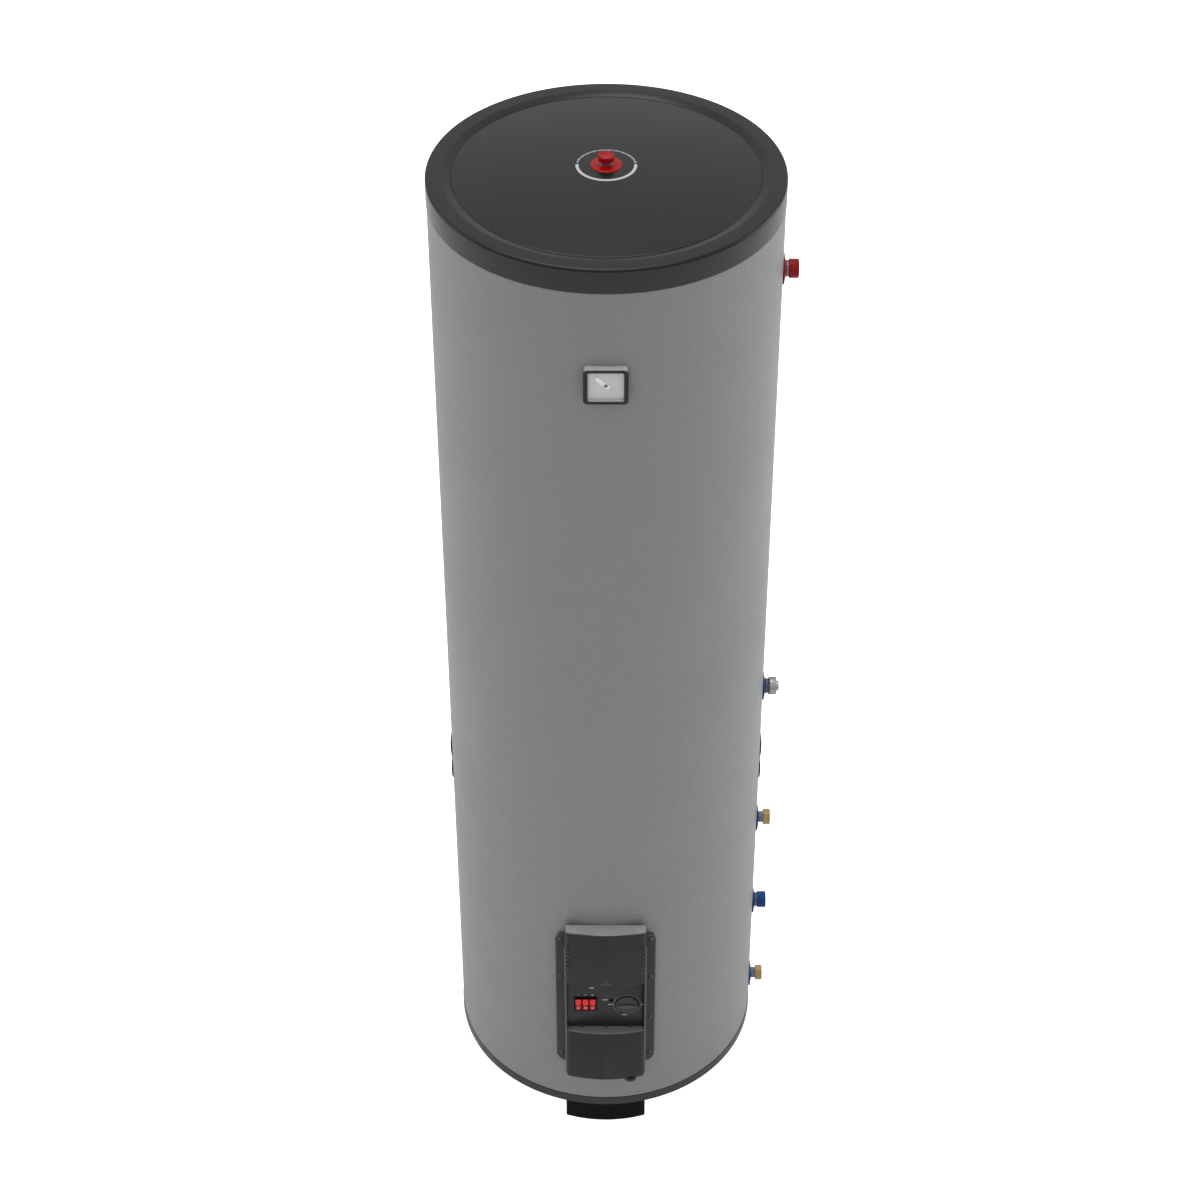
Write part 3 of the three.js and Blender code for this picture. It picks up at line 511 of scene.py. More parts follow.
# what finishes of one kind share; each finish below adds its tones
lidBase = {
    "drift": 9, "gloss": (0.18, 0.22), "specular": 0.22,
    "relief": {"grain": 900, "swell": 300, "height": 0.012, "strength": 0.2},
}
moulded = {
    "drift": 20, "gloss": (0.28, 0.36), "specular": 0.4,
    "relief": {"grain": 1500, "swell": 500, "height": 0.02, "strength": 0.4},
}
printed = {
    "drift": 100, "gloss": (0.4, 0.5), "specular": 0.3,
    "relief": {"grain": 3000, "swell": 800, "height": 0.01, "strength": 0.3},
}
blackened = {
    "drift": 30, "gloss": (0.4, 0.5), "specular": 0.10,
    "relief": {"grain": 1800, "swell": 600, "height": 0.02, "strength": 0.4},
}
glossyCap = {
    "drift": 40, "gloss": (0.20, 0.27), "specular": 0.16,
    "relief": {"grain": 1600, "swell": 500, "height": 0.02, "strength": 0.4},
}
rockerBase = {
    "drift": 60, "gloss": (0.28, 0.36), "specular": 0.25,
    "relief": {"grain": 1500, "swell": 500, "height": 0.01, "strength": 0.3},
}
gaugeBase = {
    "drift": 60, "gloss": (0.4, 0.5), "specular": 0.3,
    "relief": {"grain": 2500, "swell": 800, "height": 0.01, "strength": 0.3},
}
# the colours given below for faces that look up are painted top light
looks = {
    "jacketPaint": {
        "light": (0.198, 0.199, 0.201), "dark": (0.182, 0.183, 0.185), "drift": 5, "gloss": (0.40, 0.46),
        "specular": 0.5, "relief": {"grain": 340, "swell": 150, "share": 0.25, "height": 1.5, "strength": 1.0},
    },
    "lidPlastic": {**lidBase, "light": (0.0075, 0.0077, 0.0077), "dark": (0.0063, 0.0065, 0.0065)},
    # painted light: a lighter copy of the lid plastic for the lid's upright side
    "lidSkirtPaintedLight": {
        **lidBase, "light": (0.0170, 0.0173, 0.0173), "dark": (0.0150, 0.0153, 0.0153), "gloss": (0.24, 0.30),
        "specular": 0.35,
    },
    "housingPlastic": {
        **moulded, "light": (0.0072, 0.0074, 0.0075), "dark": (0.0062, 0.0064, 0.0065), "specular": 0.28,
        "upward": (0.26, 0.262, 0.265),
    },
    "knobPlastic": {
        **moulded, "light": (0.0120, 0.0122, 0.0123), "dark": (0.0105, 0.0107, 0.0108), "gloss": (0.26, 0.34),
        "upward": (0.040, 0.0405, 0.041),
    },
    "scalePrint": {**printed, "light": (0.150, 0.150, 0.153), "dark": (0.130, 0.130, 0.133)},
    "framePlastic": {
        **moulded, "light": (0.0110, 0.0112, 0.0113), "dark": (0.0095, 0.0097, 0.0098), "specular": 0.32,
        "upward": (0.050, 0.0505, 0.051),
    },
    "bezelBlack": {**blackened, "light": (0.0022, 0.0023, 0.0024), "dark": (0.0016, 0.0017, 0.0018)},
    # painted light: a lighter copy of the knob plastic for the grip
    "gripPaintedLight": {
        **moulded, "light": (0.042, 0.0425, 0.043), "dark": (0.038, 0.0385, 0.039), "upward": (0.085, 0.086, 0.087),
    },
    "panelPlastic": {
        **moulded, "light": (0.0125, 0.0127, 0.0128), "dark": (0.0110, 0.0112, 0.0113), "gloss": (0.34, 0.42),
        "specular": 0.3, "upward": (0.034, 0.0345, 0.035),
    },
    "coverPlastic": {
        **moulded, "light": (0.0072, 0.0074, 0.0075), "dark": (0.0062, 0.0064, 0.0065), "specular": 0.28,
        "upward": (0.125, 0.126, 0.127),
    },
    # painted highlight: a pale tone for the light strip down the housing's rounded sides
    "railPaintedHighlight": {
        **moulded, "light": (0.070, 0.0705, 0.071), "dark": (0.060, 0.0605, 0.061), "gloss": (0.3, 0.38),
    },
    "housingPale": {
        **moulded, "light": (0.020, 0.0205, 0.021), "dark": (0.018, 0.0185, 0.019), "gloss": (0.3, 0.38),
        "specular": 0.3, "upward": (0.22, 0.222, 0.225),
    },
    "bottomPlastic": {
        **moulded, "light": (0.014, 0.0143, 0.0143), "dark": (0.012, 0.0123, 0.0123), "gloss": (0.3, 0.38),
    },
    "footPaint": {
        "light": (0.0040, 0.0040, 0.0042), "dark": (0.0030, 0.0030, 0.0030), "drift": 14, "gloss": (0.5, 0.6),
        "specular": 0.10, "relief": {"grain": 700, "swell": 250, "height": 0.08, "strength": 0.5},
    },
    "blackRubber": {
        "light": (0.012, 0.012, 0.012), "dark": (0.008, 0.008, 0.008), "drift": 30, "gloss": (0.45, 0.6),
        "specular": 0.35, "relief": {"grain": 1800, "swell": 600, "height": 0.04, "strength": 0.6},
    },
    "redPlastic": {**glossyCap, "light": (0.26, 0.0008, 0.0008), "dark": (0.22, 0.0006, 0.0006)},
    "bluePlastic": {
        **glossyCap, "light": (0.0003, 0.042, 0.210), "dark": (0.0002, 0.034, 0.170), "gloss": (0.22, 0.30),
        "specular": 0.2,
    },
    "rockerRed": {**rockerBase, "light": (0.40, 0.002, 0.003), "dark": (0.35, 0.0015, 0.002)},
    "brassMetal": {
        "light": (0.40, 0.285, 0.125), "dark": (0.32, 0.22, 0.09), "drift": 90, "gloss": (0.24, 0.36), "metal": 1.0,
        "relief": {"along": (1, 0, 0), "grain": 3200, "height": 0.02, "strength": 0.4},
    },
    "zincPipe": {
        "light": (0.56, 0.57, 0.57), "dark": (0.44, 0.45, 0.45), "drift": 120, "gloss": (0.28, 0.42), "metal": 1.0,
        "relief": {"grain": 1500, "swell": 400, "height": 0.03, "strength": 0.4},
    },
    "stainlessMetal": {
        "light": (0.34, 0.335, 0.33), "dark": (0.26, 0.257, 0.255), "drift": 90, "gloss": (0.2, 0.32), "metal": 1.0,
        "relief": {"along": (1, 0, 0), "grain": 3600, "height": 0.02, "strength": 0.4},
    },
    "insulationFoam": {
        "light": (0.68, 0.56, 0.22), "dark": (0.60, 0.48, 0.17), "drift": 12, "gloss": (0.8, 0.95),
        "relief": {"grain": 400, "swell": 120, "height": 0.5, "strength": 0.8},
    },
    "vesselEnamel": {
        "light": (0.020, 0.052, 0.150), "dark": (0.014, 0.038, 0.110), "drift": 10, "gloss": (0.2, 0.3),
        "relief": {"grain": 260, "swell": 90, "height": 0.2, "strength": 0.5},
    },
    "anodeMetal": {
        "light": (0.40, 0.41, 0.41), "dark": (0.32, 0.33, 0.33), "drift": 50, "gloss": (0.5, 0.65), "metal": 0.8,
        "relief": {"grain": 700, "swell": 200, "height": 0.1, "strength": 0.6},
    },
    # partly painted glint: the black of the screws is lightened for their glints; it also colours the thermometer's
    # painted corner highlights
    "screwBlackAndGlint": {
        **blackened, "light": (0.040, 0.040, 0.041), "dark": (0.030, 0.030, 0.031), "drift": 90,
        "gloss": (0.3, 0.4),
        "metal": 0.3, "specular": 0.4, "upward": (0.12, 0.121, 0.122),
    },
    "gaugeCase": {
        **moulded, "light": (0.012, 0.0123, 0.0125), "dark": (0.010, 0.0103, 0.0105), "gloss": (0.3, 0.38),
        "specular": 0.3, "upward": (0.40, 0.403, 0.406),
    },
    "gaugeSilver": {**gaugeBase, "light": (0.56, 0.56, 0.57), "dark": (0.50, 0.50, 0.51)},
    "pointerWhite": {
        **gaugeBase, "light": (0.86, 0.86, 0.86), "dark": (0.80, 0.80, 0.80), "gloss": (0.35, 0.45),
        "specular": 0.4,
    },
    "printWhite": {**printed, "light": (0.52, 0.52, 0.53), "dark": (0.46, 0.46, 0.47), "drift": 200},
    "printGrey": {**printed, "light": (0.36, 0.36, 0.37), "dark": (0.33, 0.33, 0.34), "gloss": (0.35, 0.45)},
    "printRed": {**printed, "light": (0.66, 0.020, 0.025), "dark": (0.58, 0.014, 0.018)},
    # painted light: a lighter copy of the rocker red for the upper halves of the rockers
    "rockerPaintedLight": {**rockerBase, "light": (0.76, 0.010, 0.012), "dark": (0.70, 0.008, 0.010)},
    "rockerMark": {
        **printed, "light": (0.72, 0.36, 0.36), "dark": (0.64, 0.30, 0.30), "gloss": (0.3, 0.4), "specular": 0.4,
    },
}
finishes = {name: makeFinish(name, look) for name, look in looks.items()}


def makeWindow():
    # the thermometer's clear window
    material = bpy.data.materials.new("clearWindow")
    material.use_nodes = True
    tree = material.node_tree
    shader = tree.nodes["Principled BSDF"]
    setInputs(shader, {"Alpha": 0.06, "Specular IOR Level": 0.5, "Base Color": (0.9, 0.93, 0.95, 1)})
    tone = addGroup(tree, toneDrift, {"Scale": 30, "Gloss low": 0.04, "Gloss high": 0.09})
    tree.links.new(tone.outputs["Roughness"], shader.inputs["Roughness"])
    return material


finishes["clearWindow"] = makeWindow()
print("finishes made:", len(finishes))

# every CAD node is given the finish of its slot, seen where no modelled piece stands for it
slotFinishes = {
    "painted_steel": "jacketPaint", "lid_plastic": "lidPlastic", "housing_plastic": "housingPlastic",
    "bare_steel": "zincPipe", "black_steel": "footPaint", "black_rubber": "blackRubber",
    "insulation": "insulationFoam", "enamelled_steel": "vesselEnamel", "stainless": "stainlessMetal",
    "magnesium": "anodeMetal", "red_plastic": "redPlastic", "blue_plastic": "bluePlastic", "brass": "brassMetal",
    "gauge_face": "gaugeSilver", "white_plastic": "pointerWhite", "clear_plastic": "clearWindow",
}
for part in frame["record"]["subparts"]:
    node = frame["nodes"][part["node"]]
    node.data.materials.clear()
    node.data.materials.append(finishes[slotFinishes[part["material_slot"]]])
print("CAD nodes finished")

jacket = {"radius": 280, "wall": 1, "bottom": 123.6, "top": 1928.0}
hatch = {"half": 58, "low": 247, "high": 545, "corner": 8}  # the way through the jacket behind the housing


def hatchTool(front, back):
    return plate("hatch", (-hatch["half"], front, hatch["low"]), (hatch["half"], back, hatch["high"]),
        hatch["corner"])


def makeJacket():
    r, wall, low, high = jacket["radius"], jacket["wall"], jacket["bottom"], jacket["top"]
    profile = [
        (r - wall, low), (r - 0.4, low), (r, low + 0.4), (r, 480), (r, 900), (r, 1400), (r, high - 0.4),
        (r - 0.4, high), (r - wall, high), (r - wall, low),
    ]
    shell = lathe("jacketShell", profile, 256)
    cutAway(shell, hatchTool(-300, -250))
    finishPiece(shell, "jacketPaint", "painted_steel", stands=["outer_jacket"])


lid = {
    "radius": 281, "bottom": 1928.4, "top": 1970.3, "fillet": 4.5, "annulus": 254, "bevelFoot": 241.3,
    "bevelDrop": 3.6, "groove": 0.7, "apex": 1982.6, "bore": 10.8, "wall": 3,
}


def domeHeight(radius):
    rise = lid["apex"] - (lid["top"] - lid["bevelDrop"])
    return lid["apex"] - rise * (radius / lid["bevelFoot"]) ** 2


def arcPoints(centreR, centreZ, radius, fromAngle, toAngle, count):
    points = []
    for index in range(count + 1):
        angle = math.radians(fromAngle + (toAngle - fromAngle) * index / count)
        points.append((centreR + radius * math.cos(angle), centreZ + radius * math.sin(angle)))
    return points


def makeLid():
    r, top, wall, foot = lid["radius"], lid["top"], lid["wall"], lid["bevelFoot"]
    fillet = lid["fillet"]
    profile = [(r - wall, lid["bottom"]), (r - 0.6, lid["bottom"]), (r, lid["bottom"] + 0.6)]
    profile += [(r, lid["bottom"] + 14)]
    profile += arcPoints(r - fillet, top - fillet, fillet, 0, 90, 16)
    profile += [(lid["annulus"] + 6, top), (lid["annulus"] + 1.0, top - 0.05), (lid["annulus"] - 0.4, top - 0.35)]
    low = top - lid["bevelDrop"]
    profile += [(foot + 1.6, low + 0.2), (foot + 0.7, low - 0.15), (foot + 0.2, low - lid["groove"])]
    profile += [(foot - 0.8, low - lid["groove"]), (foot - 1.3, low - 0.1), (foot - 2.4, domeHeight(foot - 2.4))]
    profile += [(radius, domeHeight(radius)) for radius in (225, 200, 170, 140, 110, 80, 50, 30)]
    profile += [(lid["bore"], domeHeight(lid["bore"])), (lid["bore"], domeHeight(lid["bore"]) - wall)]
    profile += [(radius, domeHeight(radius) - wall) for radius in (60, 130, 200)]
    profile += [(foot - 4, low - wall), (lid["annulus"], top - wall), (r - fillet - 2, top - wall)]
    profile += [(r - wall, top - 10), (r - wall, lid["bottom"])]
    shell = lathe("lidShell", profile, 256)
    # painted light: the upright side takes a lighter copy of the lid's tone, chosen to match the studio light
    addFinish(shell, "lidPlastic")
    addFinish(shell, "lidSkirtPaintedLight")
    edge = (top - fillet) * mm
    for face in shell.data.polygons:
        if face.center.z < edge and math.hypot(face.center.x, face.center.y) > (r - 1) * mm:
            face.material_index = 1
    finishPiece(shell, None, "lid_plastic", stands=["top_lid"], smooth=9)


lidPrint = {"inner": 42.9, "outer": 47.7, "thick": 0.12, "span": 186, "dashes": 33}


def makeLidPrint():
    inner, outer, thick = lidPrint["inner"], lidPrint["outer"], lidPrint["thick"]

    def ribbon(name, low, high, middle, angle, count):
        under = -0.2
        near, far = domeHeight(low), domeHeight(high)
        profile = [
            (low, near + under), (high, far + under), (high, far + thick), (low, near + thick), (low, near + under),
        ]
        return sweep(name, profile, middle, angle, count)

    arc = ribbon("lidPrint", inner, outer, 0, lidPrint["span"], 60)
    dashes = []
    for index in range(lidPrint["dashes"]):
        middle = 100 + 160 * index / (lidPrint["dashes"] - 1)
        reach = 0.6 if index % 3 else 0
        dashes.append(ribbon("dash", inner + 0.7 + reach, outer - 0.2 - reach, middle, 2.7, 2))
    joinPieces(arc, *dashes)
    finishPiece(arc, "printGrey", "lid_plastic")


def makeBottom():
    profile = [
        (263, 103.8), (280.2, 103.8), (281, 104.6), (281, 122.4), (280.4, 123.1), (276.2, 123.1),
        (276.2, 135), (274, 135), (274, 106.4), (263, 106.4), (263, 103.8),
    ]
    ring = lathe("trimRing", profile, 256)
    finishPiece(ring, "bottomPlastic", "housing_plastic", stands=["bottom_trim_ring"])


foot = {"outer": 232, "wall": 3.5, "top": 174, "sole": 32, "soleWall": 4, "angle": 38.2}


def makeFeet():
    outer, wall = foot["outer"], foot["wall"]
    profile = [
        (outer - foot["sole"], 0), (outer, 0), (outer, foot["top"]), (outer - wall, foot["top"]),
        (outer - wall, foot["soleWall"]), (outer - foot["sole"], foot["soleWall"]), (outer - foot["sole"], 0),
    ]
    for name, node, middle in (
        ("footFront", "foot_front", 0), ("footRearRight", "foot_rear_right", 120),
        ("footRearLeft", "foot_rear_left", -120),
    ):
        piece = sweep(name, profile, middle, foot["angle"], 24)
        softenEdges(piece, 0.9, 2, 50)
        finishPiece(piece, "footPaint", "black_steel", stands=[node])


grip = {"height": 760, "halfLength": 57, "halfWidth": 27, "depth": 2.9, "dish": 1.9}


def makeGrips():
    seat = jacket["radius"] - 0.6
    front = -(jacket["radius"] + grip["depth"])
    middle, half, long = grip["height"], grip["halfWidth"], grip["halfLength"]
    for name, node, turned in (("gripRight", "hand_grip_right", 90), ("gripLeft", "hand_grip_left", -90)):
        low, high = (-half, front, middle - long), (half, -seat, middle + long)
        piece = plate(name, low, high, 22, edge=1.4, edgeSteps=4, cornerSteps=12)
        for index, sign in enumerate((-1, 1)):
            base = middle + 4 + sign * (long / 2 + 1)
            tall = long / 2 - 6
            pocket = plate(
                "pocket", (-half + 6, front - 5, base - tall), (half - 6, front + grip["dish"], base + tall),
                (12, 12), cornerSteps=10,
            )
            cutAway(piece, pocket)
        sliceAcross(piece, steps(-half, half, 3)[1:-1])
        sliceAcross(piece, steps(low[2], high[2], 4)[1:-1], "z")
        # the face swells in two lobes and thins to the jacket at both ends and between them
        for vertex in piece.data.vertices:
            lift = -vertex.co.y / mm - seat
            if lift > 0.3:
                turn = math.pi * abs(vertex.co.z / mm - middle) / long
                vertex.co.y = -(seat + 0.3 + (lift - 0.3) * max(0.12, abs(math.sin(turn)) ** 0.6)) * mm
        wrapRound(piece, jacket["radius"])
        placePiece(piece, turned=(0, 0, math.radians(turned)))
        finishPiece(piece, "blackRubber", "black_rubber", stands=[node])


makeJacket()
makeLid()
makeLidPrint()
makeBottom()
makeFeet()
makeGrips()
print("casing made")

pipes = {
    "hotOutlet": {"node": "hot_outlet", "height": 1795, "pipe": 13.4, "color": "red"},
    "circulation": {"node": "circulation", "height": 915.5, "pipe": 13.4, "color": "blue"},
    "coilInlet": {"node": "coil_inlet", "height": 591, "pipe": 10.3, "color": "blue"},
    "coldInlet": {"node": "cold_inlet", "height": 372, "pipe": 13.4, "color": "blue"},
    "coilOutlet": {"node": "coil_outlet", "height": 168, "pipe": 10.3, "color": "blue"},
}
collar = {"radius": 26, "rise": 4.4}
pipeEnd = 305.3  # of the caps, from the tank's axis


def collarProfile(pipe, seat):
    r, rise, bore = collar["radius"], collar["rise"], pipe + 0.15
    return [
        (bore, seat - 1), (r - 1.2, seat - 1), (r - 0.3, seat - 0.2), (r, seat + 0.6), (r - 0.2, seat + 1.3),
        (r - 0.8, seat + 1.8), (r - 2.2, seat + 2.2), (r - 4.5, seat + 2.6), (r - 7.5, seat + 3.1),
        (max(bore + 2.4, r - 10.5), seat + rise - 0.7), (bore + 1.6, seat + rise - 0.1), (bore + 0.8, seat + rise),
        (bore, seat + rise - 0.4), (bore, seat - 1),
    ]


def threadProfile(outer, low, high, pitch=1.8, depth=0.75):
    # the flanks of an outside thread, as rings, over a plain core
    points = [(0, low), (outer - depth, low)]
    count = max(1, int((high - low) / pitch))
    for index in range(count):
        base = low + index * pitch
        points += [
            (outer - depth, base + 0.15 * pitch), (outer - 0.06, base + 0.45 * pitch),
            (outer - 0.06, base + 0.6 * pitch), (outer - depth, base + 0.9 * pitch),
        ]
    points += [(outer - depth, high), (0, high)]
    return points


def roundCapProfile(radius, back, front, bore):
    return [
        (bore, back + 0.2), (radius - 0.5, back), (radius, back + 0.5), (radius, front - 1.5),
        (radius - 0.4, front - 0.5),
        (radius - 1.3, front), (radius - 2.2, front), (radius - 2.8, front - 0.35), (radius - 3.3, front - 0.6),
        (0, front - 0.6), (0, front - 1.8), (bore, front - 1.8), (bore, back + 0.2),
    ]


def makeHexCap(name, centre):
    # a brass hexagon with its corners turned back at both ends
    clearPick()
    bpy.ops.mesh.primitive_cylinder_add(vertices=6, radius=15.4 * mm, depth=13.2 * mm, location=(0, 0, 0))
    piece = nameNew(name)
    middle = pipeEnd - 6.6
    placePiece(piece, (middle, 0, centre[2]), facings["right"])
    back, front = pipeEnd - 13.2, pipeEnd
    turned = lathe("turned", [
        (0, back - 0.1), (13.4, back - 0.1), (15.6, back + 1.3), (15.6, front - 1.5), (13.2, front + 0.02),
        (0, front + 0.02),
    ], 96, "right", centre)
    combine(piece, turned, "INTERSECT")
    bore = lathe("bore", [(0, back - 2), (10.6, back - 2), (10.6, front - 1.6), (0, front - 1.6)], 64, "right",
        centre)
    cutAway(piece, bore)
    softenEdges(piece, 0.35, 2, 20)
    return piece


def makePipes():
    seat = jacket["radius"] + 0.1
    for name, pipe in pipes.items():
        centre = (0, 0, pipe["height"])
        color = pipe["color"] + "Plastic"
        slot = pipe["color"] + "_plastic"
        ring = lathe(name + "Collar", collarProfile(pipe["pipe"], seat), 96, "right", centre)
        finishPiece(ring, color, slot, stands=[pipe["node"] + "_collar"])
        thread = threadProfile(pipe["pipe"] + 0.15, 276, pipeEnd - 3)
        brassy = name in ("circulation", "coldInlet")
        stub = lathe(name + "Thread", thread, 96, "right", centre)
        finishPiece(stub, *(("brassMetal", "brass") if brassy else ("zincPipe", "bare_steel")))
    for name in ("hotOutlet", "coldInlet"):
        pipe = pipes[name]
        centre = (0, 0, pipe["height"])
        cap = lathe(name + "Cap", roundCapProfile(15.6, 289.0, pipeEnd, 13.75), 96, "right", centre)
        finishPiece(cap, pipe["color"] + "Plastic", pipe["color"] + "_plastic", stands=[pipe["node"] + "_cap"])
    for name in ("coilInlet", "coilOutlet"):
        pipe = pipes[name]
        cap = makeHexCap(name + "Cap", (0, 0, pipe["height"]))
        finishPiece(cap, "brassMetal", "brass", stands=[pipe["node"] + "_cap"], smooth=25)
    plug = lathe("circulationPlug", [
        (0, 289.6), (13.9, 289.6), (14.9, 290.0), (16.1, 292.4), (16.2, 293.2), (16.2, 302.8), (15.7, 303.8),
        (14.8, 304.2),
        (9.5, 304.2), (9.2, 304.5), (9.2, 308.0), (8.6, 308.7), (5.4, 308.7), (5.0, 308.3), (5.0, 306.2),
        (0, 306.2),
    ], 96, "right", (0, 0, pipes["circulation"]["height"]))
    finishPiece(plug, "stainlessMetal", "stainless", stands=["circulation_plug"])


topOutlet = {"collar": 24.8, "pipe": 10.3, "cap": 12.7, "back": 1990.6, "front": 2000.5}


def makeTopOutlet():
    seat = lid["apex"] - 0.1
    r, bore = topOutlet["collar"], topOutlet["pipe"] + 0.15
    ring = lathe("topOutletCollar", [
        (bore, seat - 0.8), (r - 1, seat - 0.8), (r - 0.2, seat - 0.2), (r, seat + 0.5), (r - 0.3, seat + 1.1),
        (r - 1.2, seat + 1.5), (r - 3, seat + 1.7), (r - 7, seat + 2.0), (bore + 3.2, seat + 2.5),
        (bore + 1.8, seat + 3.2),
        (bore + 0.8, seat + 3.8), (bore, seat + 3.9), (bore, seat - 0.8),
    ], 96)
    finishPiece(ring, "redPlastic", "red_plastic", stands=["top_outlet_collar"])
    stub = lathe("topOutletThread", threadProfile(topOutlet["pipe"] + 0.15, seat - 2, topOutlet["front"] - 3), 96)
    finishPiece(stub, "zincPipe", "bare_steel")
    cap = lathe("topOutletCap", roundCapProfile(topOutlet["cap"], topOutlet["back"], topOutlet["front"], 10.7), 96)
    finishPiece(cap, "redPlastic", "red_plastic", stands=["top_outlet_cap"])


makePipes()
makeTopOutlet()
print("pipe connections made")

gauge = {
    "centre": 1767.6, "halfWidth": 34.6, "halfHeight": 31.9, "front": -290.7, "corner": 7, "windowHalfWidth": 28.1,
    "windowHalfHeight": 25.5, "ringOuter": 25.3, "ringInner": 18.8, "dialFront": -284.4, "dialCentre": 1766.4,
}


def makeGauge():
    middle = gauge["centre"]
    low = (-gauge["halfWidth"], gauge["front"], middle - gauge["halfHeight"])
    high = (gauge["halfWidth"], -278.6, middle + gauge["halfHeight"])
    case = plate("thermometerCase", low, high, gauge["corner"], edge=1.3, edgeSteps=4, cornerSteps=10)
    window = plate(
        "window", (-gauge["windowHalfWidth"], -300, middle - gauge["windowHalfHeight"]),
        (gauge["windowHalfWidth"], gauge["dialFront"] + 0.8, middle + gauge["windowHalfHeight"]), 3.5,
    )
    cutAway(case, window)
    editPiece(case)
    pickEdges(case, lambda at, way: abs(at.y - gauge["front"] * mm) < 1e-5 and abs(way.y) < 0.1
              and abs(at.x) < (gauge["windowHalfWidth"] + 0.2) * mm
              and abs(at.z - middle * mm) < (gauge["windowHalfHeight"] + 0.2) * mm)
    bevelPicked(0.8, 3)
    leaveEdit()
    finishPiece(case, "gaugeCase", "housing_plastic", stands=["thermometer_case"])
    # painted highlights: two small lighter discs at the case's upper corners stand where only highlights of the
    # rounded corners show
    dots = []
    for side in (-1, 1):
        spot = (side * (gauge["halfWidth"] - 4.2), 0, middle + gauge["halfHeight"] - 4.2)
        dots.append(lathe("dot", [
            (0, -gauge["front"] - 0.3), (1.5, -gauge["front"] - 0.3), (1.5, -gauge["front"] + 0.1),
            (1.1, -gauge["front"] + 0.3), (0, -gauge["front"] + 0.3),
        ], 32, "front", spot))
    cornerHighlights = joinPieces(*dots, name="thermometerCornerHighlights")
    finishPiece(cornerHighlights, "screwBlackAndGlint", "housing_plastic")


def dialBand(inner, outer, middle, angle, lift, thick=0.15):
    front = -gauge["dialFront"] + lift
    profile = ringBand(inner, outer, front - 0.1, front + thick)
    # sweep counts its middle from the front before it is turned to face there, so the dial's top is at 180
    return sweep("band", profile, 180 - middle, angle, max(2, round(angle / 3)), "front",
        (0, 0, gauge["dialCentre"]))


def makeDialPrint():
    tones = {"bandPale": 0.50, "bandSoft": 0.40, "bandMid": 0.31, "bandDeep": 0.23, "bandDark": 0.16}
    for name, tone in tones.items():
        finishes[name] = makeFinish(name, {
            **printed, "light": (tone, tone, tone * 1.02), "dark": (tone * 0.94,) * 3,
        })
    plan = [
        ("bandPale", -110, 43), ("bandSoft", -66, 43), ("bandMid", -22, 43), ("bandDeep", 22, 43),
        ("bandDark", 67, 42),
        ("printRed", 112.5, 42),
    ]
    bands = []
    for material, middle, angle in plan:
        band = dialBand(gauge["ringInner"], gauge["ringOuter"], middle, angle, 0)
        addFinish(band, material)
        bands.append(band)
    for middle in (0, 45, 90):
        mark = dialBand(gauge["ringInner"] - 1, gauge["ringOuter"] + 0.2, middle, 1.6, 0.08)
        addFinish(mark, "pointerWhite")
        bands.append(mark)
    inner = dialBand(15.6, 17.4, 0, 264, 0)
    addFinish(inner, "bandPale")
    bands.append(inner)
    dial = joinPieces(*bands, name="dialPrint")
    finishPiece(dial, None, "gauge_face")


pointer = {"width": 6.6, "reach": 20.2, "tail": 7, "angle": -48}


def makePointer():
    back, front = gauge["dialFront"] - 0.9, gauge["dialFront"] - 1.9
    half = pointer["width"] / 2
    arm = plate("thermometerPointer", (-half, front, -pointer["tail"]), (half, back, pointer["reach"]), (3, 3),
        edge=0.3,
                edgeSteps=2, cornerSteps=8)
    slot = plate("slot", (-1.0, front - 2, -3.4), (1.0, front + 0.5, pointer["reach"] - 4.6), (0.95, 0.95),
        cornerSteps=6)
    cutAway(arm, slot)
    hub = lathe("hub", [
        (0, -gauge["dialFront"]), (2.2, -gauge["dialFront"]), (2.2, -front - 0.2), (2.8, -front - 0.2),
        (2.8, -front + 0.3),
        (2.2, -front + 0.6), (0, -front + 0.6),
    ], 40, "front")
    addFinish(hub, "blackRubber")
    addFinish(arm, "pointerWhite")
    joinPieces(arm, hub)
    placePiece(arm, (0, 0, gauge["centre"]), (0, math.radians(pointer["angle"]), 0))
    finishPiece(arm, None, "white_plastic", body="pointer", stands=["thermometer_pointer"])


def makeWindowPane():
    middle = gauge["centre"]
    pane = plate(
        "thermometerWindow",
        (-gauge["windowHalfWidth"] + 0.05, gauge["front"] + 1.6, middle - gauge["windowHalfHeight"] + 0.05),
        (gauge["windowHalfWidth"] - 0.05, gauge["front"] + 2.6, middle + gauge["windowHalfHeight"] - 0.05), 3.4,
        edge=0.2,
        edgeSteps=2,
    )
    finishPiece(pane, "clearWindow", "clear_plastic", stands=["thermometer_lens"])


makeGauge()
makeDialPrint()
makePointer()
makeWindowPane()
print("thermometer made")

housing = {
    "halfWidth": 91, "bottom": 228, "top": 564, "reach": 290, "lowerCorner": 17, "upperCorner": 15,
    "coverBack": 74.6, "coverFront": 71.8, "coverReach": 308, "bow": 9.4, "coverSeat": 281, "corner": 6,
    "ledge": 333.4, "upperLow": 458.8, "upperTop": 592.7, "lowerLow": 206.9, "bay": 70.2, "panel": -288.4,
}


def arcWidth(chord, radius):
    return radius * math.asin(chord / radius)


